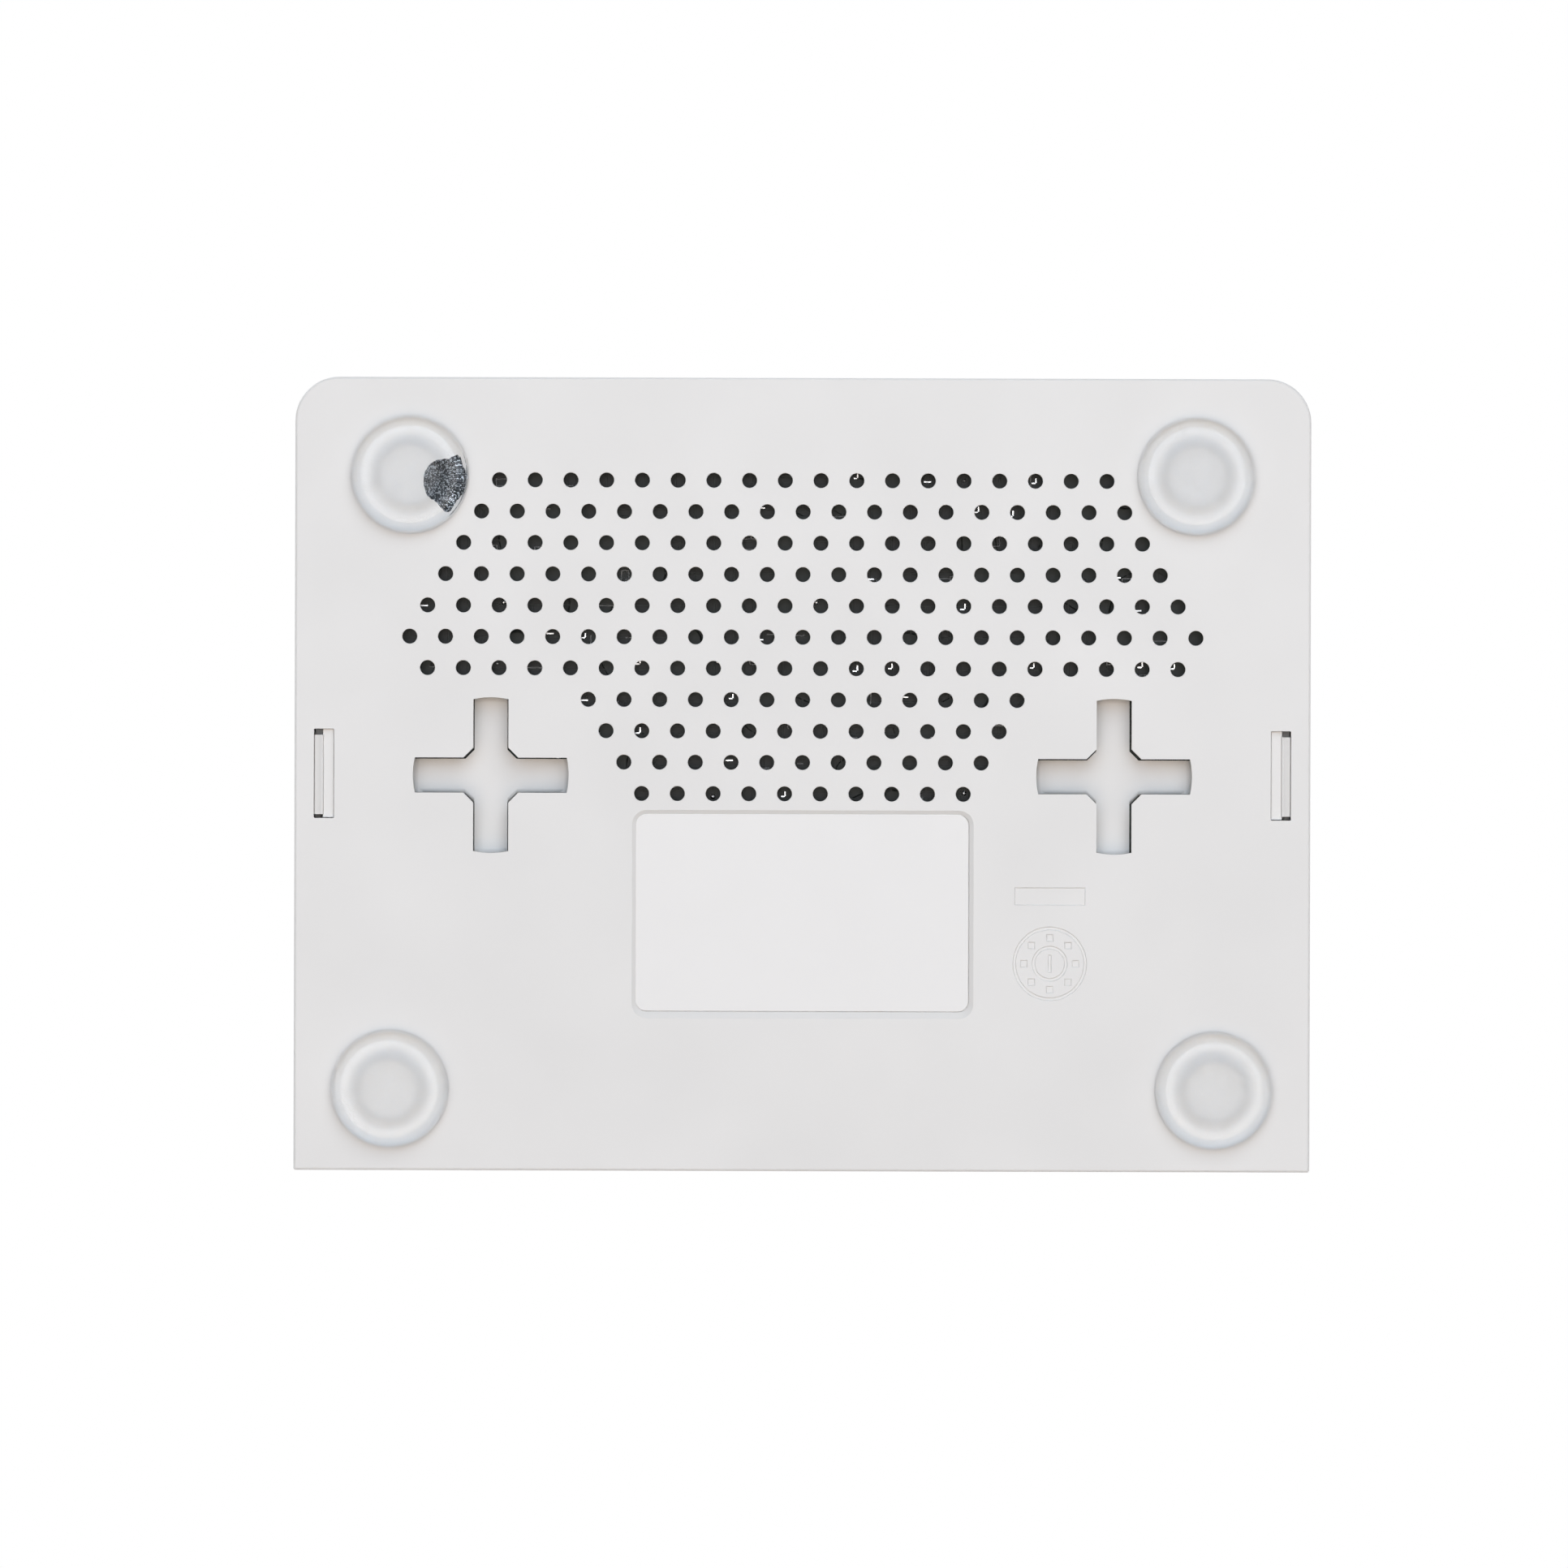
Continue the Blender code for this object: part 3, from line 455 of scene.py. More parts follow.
def soften(obj, smooth=35):
    """Smooth shading, but for edges sharper than that many degrees."""
    obj.data.shade_smooth()
    obj.data.set_sharp_from_angle(angle=math.radians(smooth))


def baked(obj, smooth=35):
    """Applies the modifiers and removes the helpers that they used."""
    helpers = [m.object for m in obj.modifiers if m.type == "BOOLEAN"]
    bpy.context.view_layer.update()
    graph = bpy.context.evaluated_depsgraph_get()
    obj.data = bpy.data.meshes.new_from_object(obj.evaluated_get(graph))
    obj.modifiers.clear()
    for helper in helpers:
        bpy.data.objects.remove(helper, do_unlink=True)
    soften(obj, smooth)
    return obj


def boolean(obj, other, operation):
    modifier = obj.modifiers.new(other.name, "BOOLEAN")
    modifier.operation = operation
    modifier.object = other


def bevelled(obj, width, segments=2, angle=40):
    """Rounds the edges sharper than angle by width, in millimetres."""
    weld = obj.modifiers.new("weld", "WELD")
    weld.merge_threshold = 1e-6
    modifier = obj.modifiers.new("round", "BEVEL")
    modifier.width = width * MM
    modifier.segments = segments
    modifier.limit_method = "ANGLE"
    modifier.angle_limit = math.radians(angle)
    modifier.use_clamp_overlap = True
    modifier.harden_normals = False


def finish_piece(obj, body, slot, *nodes):
    """Puts a piece on its body and hides the CAD nodes that it stands for. Its flat faces keep their own
    normals.
    """
    normals = obj.modifiers.new("normals", "WEIGHTED_NORMAL")
    normals.weight = 100
    normals.keep_sharp = True
    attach(obj, body)
    if nodes:
        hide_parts(*nodes)


def arc(centre, radius, start, end, steps):
    angles = [math.radians(start + (end - start) * i / steps) for i in range(steps + 1)]
    return [(centre[0] + radius * math.cos(a), centre[1] + radius * math.sin(a)) for a in angles]


def circle(radius, sides, centre=(0, 0)):
    return arc(centre, radius, 0, 360 * (sides - 1) / sides, sides - 1)


def rectangle(half_x, half_y, radius=0.0, steps=6, centre=(0, 0)):
    points = []
    for start, (sx, sy) in zip((180, 270, 0, 90), ((-1, -1), (1, -1), (1, 1), (-1, 1))):
        corner = (centre[0] + sx * (half_x - radius), centre[1] + sy * (half_y - radius))
        points += arc(corner, radius, start, start + 90, steps) if radius else [corner]
    return points


def moved(outline, dx, dy):
    return [(x + dx, y + dy) for x, y in outline]


def case_outline(inset):
    """The case seen from above, drawn in by inset, with sharper corners at the front."""
    points = []
    corners = (
        (180, -1, -1, FRONT_CORNER, 4),
        (270, 1, -1, FRONT_CORNER, 4),
        (0, 1, 1, REAR_CORNER, 14),
        (90, -1, 1, REAR_CORNER, 14),
    )
    for start, sx, sy, full, steps in corners:
        radius = max(full - inset, 0.15)
        reach = inset + radius
        points += arc((sx * (HALF_X - reach), sy * (HALF_Y - reach)), radius, start, start + 90, steps)
    return points


def bridge_rings(bm, rings, caps=True):
    """Faces between rings of as many points each, closed at both ends unless caps is off."""
    rows = [[bm.verts.new(point) for point in ring] for ring in rings]
    for low, high in zip(rows, rows[1:]):
        for i in range(len(low)):
            j = (i + 1) % len(low)
            bm.faces.new((low[i], low[j], high[j], high[i]))
    if caps:
        bm.faces.new(rows[0])
        bm.faces.new(rows[-1])
    return rows


AXES = {
    "X": Matrix(((0, 0, 1), (1, 0, 0), (0, 1, 0))),
    "Y": Matrix(((1, 0, 0), (0, 0, 1), (0, 1, 0))),
    "Z": Matrix.Identity(3),
}


def add_prism(bm, outline, low, high, axis="Z"):
    """An outline in YZ, XZ or XY, swept along X, Y or Z."""
    turn = AXES[axis]
    bridge_rings(bm, [[turn @ Vector((u, v, w)) for u, v in outline] for w in (low, high)])


def add_loft(bm, levels, outline_at):
    """A solid through outlines at successive (height, inset) levels."""
    bridge_rings(bm, [[(x, y, z) for x, y in outline_at(inset)] for z, inset in levels])


def add_turned(bm, profile, sides, centre=(0, 0)):
    """A solid of revolution about Z through (radius, height) points, closed by its first and last rings."""
    bridge_rings(bm, [[(x, y, z) for x, y in circle(radius, sides, centre)] for radius, z in profile])


def add_ring(bm, centre, section, sides=48):
    """A closed ring about Z, from its (radius, height) section."""
    rings = [[(x, y, z) for x, y in circle(radius, sides, centre)] for radius, z in section]
    rows = bridge_rings(bm, rings, caps=False)
    for i in range(sides):
        j = (i + 1) % sides
        bm.faces.new((rows[-1][i], rows[-1][j], rows[0][j], rows[0][i]))


def quarter_round(low, radius, steps, rising=True):
    """(height, inset) levels of a rounded edge: the bottom one rises from low, the top one ends at low."""
    levels = []
    for i in range(steps + 1):
        a = math.radians(90 * i / steps)
        if rising:
            levels.append((low + radius * (1 - math.cos(a)), radius * (1 - math.sin(a))))
        else:
            levels.append((low - radius * (1 - math.sin(a)), radius * (1 - math.cos(a))))
    return levels


# ---------------------------------------------------------------- base shell
def vent_centres():
    for row, count in enumerate(VENT_ROWS):
        for i in range(count):
            yield ((i - (count - 1) / 2) * VENT_PITCH[0], VENT_FIRST_Y - row * VENT_PITCH[1])


def plus_outline(reach, right, top, left, bottom, upper, lower):
    """A plus with arc-ended arms: how far its arms reach to each side of their middles, and its chamfers."""

    def end(heading, before, after):
        first = heading - math.degrees(math.asin(before / reach))
        last = heading + math.degrees(math.asin(after / reach))
        return arc((0, 0), reach, first, last, 10)

    points = [*end(0, bottom, top), (right + upper, top), (right, top + upper)]
    points += [*end(90, right, left), (-left, top + upper), (-left - upper, top)]
    points += [*end(180, top, bottom), (-left - lower, -bottom), (-left, -bottom - lower)]
    points += [*end(270, left, right), (right, -bottom - lower), (right + lower, -bottom)]
    return points


def bridge_sides(side):
    """Half widths of a bridge's arms to +X, +Y, -X and -Y. Each bridge sits a little off its slot."""
    outer, inner = BRIDGE_GAPS[side]
    across = (WALL_SLOT_HALF - outer, WALL_SLOT_HALF - inner)
    right, left = across if side > 0 else across[::-1]
    return right, WALL_SLOT_HALF - 0.13, left, WALL_SLOT_HALF + 0.12


def add_wall_slot_bridges(bm):
    """Behind each wall slot, a plus-shaped strip, whose front edges are rounded."""
    for side in (-1, 1):
        centre = (side * WALL_SLOT_X, WALL_SLOT_Y)
        right, top, left, bottom = bridge_sides(side)

        def outline(inset):
            upper, lower = WALL_SLOT_CHAMFER - 0.1, WALL_SLOT_CHAMFER - 0.06
            plus = plus_outline(WALL_SLOT_REACH + 1.0, right, top, left, bottom - inset, upper, lower)
            return moved(plus, *centre)

        levels = quarter_round(BRIDGE_Z, 0.6, 6) + [(BRIDGE_Z + BRIDGE_THICK, 0.0)]
        add_loft(bm, levels, outline)


def add_wall_slot_ends(bm):
    """The curved ends of the bridges, from the skin up to the strip."""
    outer, sweep = WALL_SLOT_REACH + 1.2, 0.55
    inner = WALL_SLOT_REACH - sweep - 0.6
    foot = FLOOR_Z - 0.4
    hollow = arc((WALL_SLOT_REACH - sweep, BRIDGE_Z - sweep), sweep, 90, 0, 8)
    section = [(inner, BRIDGE_Z + 0.3), *hollow, (WALL_SLOT_REACH, foot), (outer, foot)]
    section += [(outer, BRIDGE_Z + BRIDGE_THICK - 0.05), (inner, BRIDGE_Z + BRIDGE_THICK - 0.05)]
    for side in (-1, 1):
        # a little narrower than the strip, so that no faces coincide
        right, top, left, bottom = (reach - 0.03 for reach in bridge_sides(side))
        bottom -= 0.14  # clear of the strip's rounded edge
        spans = ((bottom, top), (right, left), (top, bottom), (left, right))
        for quarter, (before, after) in enumerate(spans):
            turn = Matrix.Rotation(math.radians(90 * quarter), 2)
            rings = []
            for i in range(9):
                across = -before + (before + after) * i / 8
                bow = math.sqrt(WALL_SLOT_REACH**2 - across**2) - WALL_SLOT_REACH
                ring = []
                for reach, z in section:
                    x, y = turn @ Vector((reach + bow, across))
                    ring.append((side * WALL_SLOT_X + x, WALL_SLOT_Y + y, z))
                rings.append(ring)
            bridge_rings(bm, rings)


def add_vent_cutters(bm):
    profile = (
        (VENT_RADIUS + 0.07, BASE_Z - 0.03),
        (VENT_RADIUS, BASE_Z + 0.06),
        (VENT_RADIUS + 0.08, FLOOR_Z + 0.5),
    )
    for centre in vent_centres():
        add_turned(bm, profile, 24, centre)


def add_label_recess(bm):
    """A shallow pocket with sloping sides, a little larger than the label."""
    levels = (
        (BASE_Z - 0.03, -0.05),
        (BASE_Z + 0.02, 0.0),
        (BASE_Z + 0.12, 0.12),
        (BASE_Z + 0.28, 0.4),
        (BASE_Z + 0.35, 0.46),
        (BASE_Z + 0.6, 0.47),
    )

    def outline(inset):
        rear, front = RECESS_REAR - inset, RECESS_FRONT + 1.6 * inset
        centre = (-0.07, (rear + front) / 2)
        return rectangle(RECESS_HALF_X - inset, (rear - front) / 2, RECESS_CORNER - inset, 8, centre)

    add_loft(bm, levels, outline)


def add_engraving(bm, outline, centre):
    """A sunk shape with sloping sides, from its outline at the bottom about the origin."""
    rings = []
    for z, grow in ((BASE_Z + MARK_DEPTH, 0.0), (BASE_Z - 0.05, MARK_SLOPE)):
        ring = [(x + math.copysign(grow, x), y + math.copysign(grow, y), z) for x, y in outline]
        rings.append([(centre[0] + x, centre[1] + y, z) for x, y, z in ring])
    bridge_rings(bm, rings)


def add_moulded_mark(bm):
    """A plain mould-date dial: two rings, ticks between them and a pointer, with a blank tag behind it."""
    low, high = BASE_Z - 0.05, BASE_Z + MARK_DEPTH
    for inner, outer in DIAL_RINGS:
        section = ((inner - MARK_SLOPE, low), (outer + MARK_SLOPE, low), (outer, high), (inner, high))
        add_ring(bm, DIAL_AT, section)
    for x, y in circle(DIAL_TICK_REACH, DIAL_TICKS, DIAL_AT):
        add_engraving(bm, rectangle(0.3, 0.3), (x, y))
    add_engraving(bm, rectangle(0.1, 0.9), DIAL_AT)
    add_engraving(bm, rectangle(3.85, 0.9), (DIAL_AT[0], DIAL_AT[1] + TAG_OFFSET))


def add_clip_slots(bm):
    """The two side slots, and the pocket that each hook's catch springs into."""
    for side in (-1, 1):
        outline = rectangle(CLIP_SLOT[0] / 2, CLIP_SLOT[1] / 2, 0.12, 3, (side * CLIP_X, 0))
        add_prism(bm, outline, BASE_Z - 1, FLOOR_Z + 0.6)
        catch = rectangle(0.8, CLIP_SLOT[1] / 2, centre=(side * (HALF_X - WALL + 0.1), 0))
        add_prism(bm, catch, FLOOR_Z + GAP, FLOOR_Z + 1.9)


def add_board_bosses(bm):
    """Screw bosses, which widen towards the floor."""
    for name in SCREWS:
        at = middle(name)
        foot = ((4.0, FLOOR_Z - 0.4), (3.3, FLOOR_Z + 0.35), (3.0, FLOOR_Z + 1.0))
        add_turned(bm, (*foot, (2.85, BOARD_LOW.z - 0.1)), 32, (at.x, at.y))


def add_board_pilots(bm):
    for name in SCREWS:
        at = middle(name)
        add_turned(bm, ((1.25, FLOOR_Z + 0.4), (1.25, BOARD_LOW.z + 1)), 20, (at.x, at.y))


def base_shell():
    levels = [
        *((z, inset + DRAFT) for z, inset in quarter_round(BASE_Z, BASE_EDGE, 5)),
        (SEAM_Z - 0.12, 0.0),
        (SEAM_Z, 0.12),
        (SEAM_Z, LAP),
        (SEAM_Z + TONGUE - 0.2, LAP),
        (SEAM_Z + TONGUE, LAP + 0.2),
        (SEAM_Z + TONGUE, WALL),
        (FLOOR_Z + 0.5, WALL),
        (FLOOR_Z, WALL + 0.5),
    ]
    shell = built("base_shell", lambda bm: add_loft(bm, levels, case_outline))
    for number, fill in enumerate((add_wall_slot_bridges, add_wall_slot_ends, add_board_bosses)):
        boolean(shell, built(f"base_addition_{number}", fill), "UNION")

    def add_lip_gap(bm):
        add_prism(bm, rectangle(HALF_X - WALL - 0.2, WALL, centre=(0, -HALF_Y)), SEAM_Z, SEAM_Z + 3)

    def add_wall_slots(bm):
        plus = plus_outline(WALL_SLOT_REACH, *[WALL_SLOT_HALF] * 4, *[WALL_SLOT_CHAMFER] * 2)
        for side in (-1, 1):
            add_prism(bm, moved(plus, side * WALL_SLOT_X, WALL_SLOT_Y), BASE_Z - 1, FLOOR_Z + 0.01)

    cutters = (
        add_wall_slots,
        add_label_recess,
        add_moulded_mark,
        add_clip_slots,
        add_board_pilots,
        add_lip_gap,
        add_vent_cutters,
    )
    for number, fill in enumerate(cutters):
        boolean(shell, built(f"base_cutter_{number}", fill), "DIFFERENCE")
    finish_piece(baked(shell), "base", "case_plastic", "base_cover")


# ---------------------------------------------------------------- cover shell
def add_snap_hooks(bm):
    """The two leaves with their catches, the rib that backs each of them, and the web between the two."""
    leaf = [
        (53.34, 3.4),
        (53.44, 3.2),
        (53.6, 3.16),
        (54.34, 3.48),
        (54.41, 3.6),
        (54.4, 4.6),
        (54.2, 4.9),
        (54.95, 5.45),
        (55.1, 5.6),
        (55.1, 6.0),
        (54.95, 6.12),
        (54.25, 6.25),
        (54.25, 13.5),
        (55.0, 14.5),
        (55.0, 20.0),
        (53.34, 20.0),
    ]
    rib = [(52.19, 3.66), (52.25, 3.5), (53.42, 3.55), (53.42, 19.9), (52.45, 19.4), (52.19, 6.0)]
    web = [(52.2, 6.7), (54.39, 6.7), (54.2, 7.4), (52.2, 7.4)]
    for side in (-1, 1):
        for profile, low, high in ((leaf, -4.55, 4.3), (rib, -4.88, 4.94), (web, -4.94, 4.94)):
            outline = [(side * x, z) for x, z in profile]
            add_prism(bm, outline, low, high, "Y")


def cover_openings():
    """(left, right, top) of each opening in the front wall, down to the seam."""
    found = []
    for names in (["power_jack"], JACKS[:1], JACKS[1:], ["usb_shell"]):
        lows, highs = zip(*(box(name) for name in names))
        left, right = min(p.x for p in lows) - GAP, max(p.x for p in highs) + GAP
        found.append((left, right, max(p.z for p in highs) + GAP))
    return found


def add_cover_openings(bm):
    front, back = -HALF_Y - 1, FRONT_INSIDE_Y + 1
    for left, right, top in cover_openings():
        outline = [(left, SEAM_Z - 1), (right, SEAM_Z - 1), *arc((right - 0.3, top - 0.3), 0.3, 0, 90, 3)]
        outline += arc((left + 0.3, top - 0.3), 0.3, 90, 180, 3)
        add_prism(bm, outline, front, back, "Y")
    cap = middle("reset_button")
    add_prism(bm, circle(2.3, 40, (cap.x, cap.z)), front, back, "Y")
    window_z = box("light_guide")[1].z - 0.7
    for led in LEDS:
        add_prism(bm, rectangle(1.1, 1.0, 0.25, 4, (led.x, window_z)), front, back, "Y")


def add_side_vents(bm):
    """Upright slots in each side wall, with a soft outer edge."""
    half_y, half_z = SIDE_VENT_HALF
    inner, edge, outer = HALF_X - WALL - 1, HALF_X - 0.25, HALF_X + 0.1
    for side in (-1, 1):
        for i in range(SIDE_VENTS):
            y = SIDE_VENT_FIRST_Y + SIDE_VENT_PITCH * i
            rings = []
            for x, grow in ((inner, 0.0), (edge, 0.0), (outer, 0.3)):
                ring = rectangle(half_y + grow, half_z + grow, SIDE_VENT_CORNER + grow, 6, (y, SIDE_VENT_Z))
                rings.append([(side * x, u, v) for u, v in ring])
            bridge_rings(bm, rings)


def add_guide_pegs(bm):
    """Two pegs that hold the light guide under the cover."""
    guide_high = box("light_guide")[1]
    for x in (-18.5, 29.9):
        profile = ((0.9, guide_high.z - 2.7), (1.2, guide_high.z - 2.3), (1.2, TOP_Z - WALL + 0.5))
        add_turned(bm, profile, 24, (x, LEDS[0].y + 3.2))


def cover_shell():
    ceiling = TOP_Z - WALL
    levels = [
        (ceiling, WALL + 1.2),
        (ceiling - 0.35, WALL + 0.35),
        (ceiling - 1.2, WALL),
        (SEAM_Z + TONGUE + GAP, WALL),
        (SEAM_Z + TONGUE + GAP, LAP - GAP),
        (SEAM_Z + GAP, LAP - GAP),
        (SEAM_Z + GAP, 0.12),
        (SEAM_Z + GAP + 0.12, 0.0),
        *quarter_round(TOP_Z, TOP_EDGE, 12, rising=False),
        (TOP_Z, 7.0),
        (TOP_Z - 0.22, 7.12),
        (TOP_Z - 0.22, 7.38),
        (TOP_Z, 7.5),
    ]
    shell = built("cover_shell", lambda bm: add_loft(bm, levels, case_outline))
    for number, fill in enumerate((add_snap_hooks, add_guide_pegs)):
        boolean(shell, built(f"cover_addition_{number}", fill), "UNION")
    for number, fill in enumerate((add_cover_openings, add_side_vents)):
        boolean(shell, built(f"cover_cutter_{number}", fill), "DIFFERENCE")
    finish_piece(baked(shell), "cover", "case_plastic", "top_cover")


# ---------------------------------------------------------------- what is stuck on the base
def foot_profile(radius, top):
    """A straight tapered skirt, a small fillet, a flat ring and a soft dish, as (radius, height) points."""
    profile = [(radius - 0.06, top), (radius, top - 0.08), (radius - 0.02, top - 0.25), (radius - 0.22, 0.95)]
    profile += arc((radius - 0.5, 0.85), 0.28, 10, -48, 5)
    profile += arc((radius - 1.25, 0.4), 0.4, -42, -90, 5)
    rim, bottom, depth = 4.85, 2.8, 0.31
    for i in range(13):
        t = i / 12
        fall = t * t * (3 - 2 * t)
        profile.append((rim + (bottom - rim) * t, depth * fall))
    profile += [(1.2, depth + 0.01), (0.02, depth + 0.015)]
    return profile


def feet():
    """The four clear moulded bumpers."""
    for name in FEET:
        low, high = box(name)
        # bonded to the base: its top is sunk a little into it
        profile = foot_profile((high.x - low.x) / 2, high.z + 0.04)
        centre = ((low.x + high.x) / 2, (low.y + high.y) / 2)
        piece = built(f"bumper_{name[5:]}", lambda bm: add_turned(bm, profile, 96, centre), RUBBER, 60)
        finish_piece(piece, "base", "clear_rubber", name)


def rating_label():
    """The blank label, a rectangle with round corners."""
    half_x, half_y = LABEL_HALF
    low, high = LABEL_LOW.z, LABEL_HIGH.z
    levels = ((low, 0.05), (low + 0.04, 0.0), (high, 0.0))

    def outline(inset):
        return rectangle(half_x - inset, half_y - inset, 1.2 - inset, 8, (LABEL_MIDDLE.x, LABEL_MIDDLE.y))

    piece = built("blank_label", lambda bm: add_loft(bm, levels, outline), PAPER)
    finish_piece(piece, "base", "label_paper", "rating_label")


def ink_dab():
    """A dab of grey metallic marking ink under the edge of a rear foot, with a tail at its front. Beside it,
    a lighter arc of the same ink is painted light, for light that the foot's shoulder bends onto the case.
    """
    random.seed(5)
    foot = middle("foot_rear_right")
    centre = (foot.x - 3.75, foot.y - 0.6)
    bulges = ((116, 0.13, 0.55), (267, 0.28, 0.85), (312, 0.5, 0.22))
    outline = []
    for i in range(72):
        a = math.tau * i / 72
        r = 2.2 + random.uniform(-0.05, 0.05)
        for heading, spread, rise in bulges:
            r += rise * math.exp(-(((a - math.radians(heading)) / spread) ** 2))
        x, y = centre[0] + r * math.cos(a), centre[1] + 1.08 * r * math.sin(a)
        reach = math.hypot(x - foot.x, y - foot.y)
        limit = min(1.0, 6.1 / reach)
        outline.append((foot.x + (x - foot.x) * limit, foot.y + (y - foot.y) * limit))
    piece = built("ink_dab", lambda bm: add_prism(bm, outline, BASE_Z - 0.07, BASE_Z - 0.01), SPECKLE)
    finish_piece(piece, "base", "label_paper")
    # painted light: a lighter arc of ink where the clear foot's shoulder bends light onto the case
    edge = arc((foot.x, foot.y), 5.55, 160, 218, 16) + arc((foot.x, foot.y), 5.15, 220, 162, 16)
    piece = built("ink_painted_light_band", lambda bm: add_prism(bm, edge, BASE_Z - 0.09, BASE_Z - 0.08), PAINTED_LIGHT_INK)
    finish_piece(piece, "base", "label_paper")


# ---------------------------------------------------------------- board
def flat_frame(bm, low, high, z0, z1, width=0.15):
    """A rectangular printed outline."""
    for x0, y0, x1, y1 in (
        (low[0], low[1], high[0], low[1] + width),
        (low[0], high[1] - width, high[0], high[1]),
        (low[0], low[1] + width, low[0] + width, high[1] - width),
        (high[0] - width, low[1] + width, high[0], high[1] - width),
    ):
        add_prism(bm, [(x0, y0), (x1, y0), (x1, y1), (x0, y1)], z0, z1)


def board_printing():
    """White outlines round the parts on top, and the marks and outlines on the underside."""
    random.seed(7)

    def top_side(bm):
        z0, z1 = BOARD_TOP + 0.005, BOARD_TOP + 0.03
        for name in ON_BOARD:
            low, high = box(name)
            grow = 0.9 if name in CHIPS else 0.35
            x0, x1 = max(low.x - grow, BOARD_LOW.x + 0.3), min(high.x + grow, BOARD_HIGH.x - 0.3)
            y0, y1 = max(low.y - grow, BOARD_LOW.y + 0.3), min(high.y + grow, BOARD_HIGH.y - 0.3)
            flat_frame(bm, (x0, y0), (x1, y1), z0, z1)

    def underside(bm):
        z0, z1 = BOARD_LOW.z - 0.03, BOARD_LOW.z - 0.005
        for _ in range(150):
            x, y = random.uniform(-47, 47), random.uniform(-8, 38)
            if random.random() < 0.45:
                w, h = random.choice(((1.6, 0.9), (0.9, 1.6), (2.4, 1.3)))
                flat_frame(bm, (x, y), (x + w, y + h), z0, z1, 0.12)
            else:
                length = random.uniform(0.7, 2.2)
                half = (length / 2, 0.07) if random.random() < 0.6 else (0.07, length / 2)
                add_prism(bm, rectangle(*half, centre=(x, y)), z0, z1)

    for name, fill in (("board_print_top", top_side), ("board_print_under", underside)):
        finish_piece(built(name, fill, SILK), "base", "label_paper")


def add_dome(bm, centre, radius, base_z, height, sides=12):
    """A solder joint. A negative height makes it hang."""
    steps = 3
    profile = []
    for i in range(steps + 1):
        a = math.radians(90 * i / steps)
        profile.append((max(radius * math.cos(a), 0.02), base_z + height * math.sin(a)))
    add_turned(bm, profile, sides, centre)


def solder_joints():
    """Joints of the through-hole parts and vias on the underside, and the chips' soldered leads on top."""
    random.seed(11)

    def underside(bm):
        z = BOARD_LOW.z - 0.005
        for name in JACKS:
            at = middle(name)
            for i in range(8):
                row = -0.6 if i % 2 else 0.7
                add_dome(bm, (at.x + (i - 3.5) * 1.02, at.y + 3.5 + 1.8 * row), 0.42, z, -0.5)
            for side in (-1, 1):
                add_dome(bm, (at.x + side * 5.7, at.y - 0.6), 0.85, z, -0.55)
        for name in ("wan_transformer", "lan_transformer_1", "lan_transformer_2"):
            at = middle(name)
            for i in range(12):
                for side in (-1, 1):
                    add_dome(bm, (at.x + (i - 5.5) * 1.4, at.y + side * 3.9), 0.38, z, -0.4)
        for name in ("capacitor_1", "capacitor_2", "inductor", "crystal"):
            at = middle(name)
            for side in (-1, 1):
                add_dome(bm, (at.x + side * 1.25, at.y), 0.6, z, -0.6)
        for _ in range(70):
            centre = (random.uniform(-46, 46), random.uniform(-6, 38))
            add_dome(bm, centre, random.choice((0.22, 0.3, 0.3)), z, -0.08, 10)
        # tinned pads that glint behind some of the vents
        for x, y in random.sample(list(vent_centres()), 26):
            x += random.uniform(-0.5, 0.5)
            y += random.uniform(-0.5, 0.5)
            for half in random.choice(PAD_STRIPS):
                strip = rectangle(*half, centre=(x + half[0], y + half[1]))
                add_prism(bm, strip, z - 0.03, z + 0.01)

    finish_piece(built("solder_under", underside, SOLDER), "base", "screw_steel")

    def leads(bm):
        z = BOARD_TOP + 0.01
        for name, (pitch, count) in CHIPS.items():
            high = box(name)[1]
            at = middle(name)
            sides = ((0, 1), (0, -1), (1, 0), (-1, 0)) if name == "processor" else ((1, 0), (-1, 0))
            for dx, dy in sides:
                for i in range(count):
                    along = (i - (count - 1) / 2) * pitch
                    out = (high.x - at.x if dx else high.y - at.y) + 0.28
                    x = at.x + (dx * out if dx else along)
                    y = at.y + (dy * out if dy else along)
                    half = (0.32, 0.28 * pitch) if dx else (0.28 * pitch, 0.32)
                    add_prism(bm, rectangle(*half, centre=(x, y)), z, z + 0.16)

    finish_piece(built("chip_leads", leads, SOLDER), "base", "screw_steel")


def free_spots(count, margin):
    """Random places on the board's top that are clear of its parts."""
    taken = [box(name) for name in ON_BOARD]
    found = []
    while len(found) < count:
        x, y = random.uniform(-50, 50), random.uniform(-25, 38.5)
        clear = all(
            not (low.x - margin < x < high.x + margin and low.y - margin < y < high.y + margin)
            for low, high in taken
        )
        if clear and all(abs(x - u) + abs(y - v) > 2.6 for u, v in found):
            found.append((x, y))
    return found


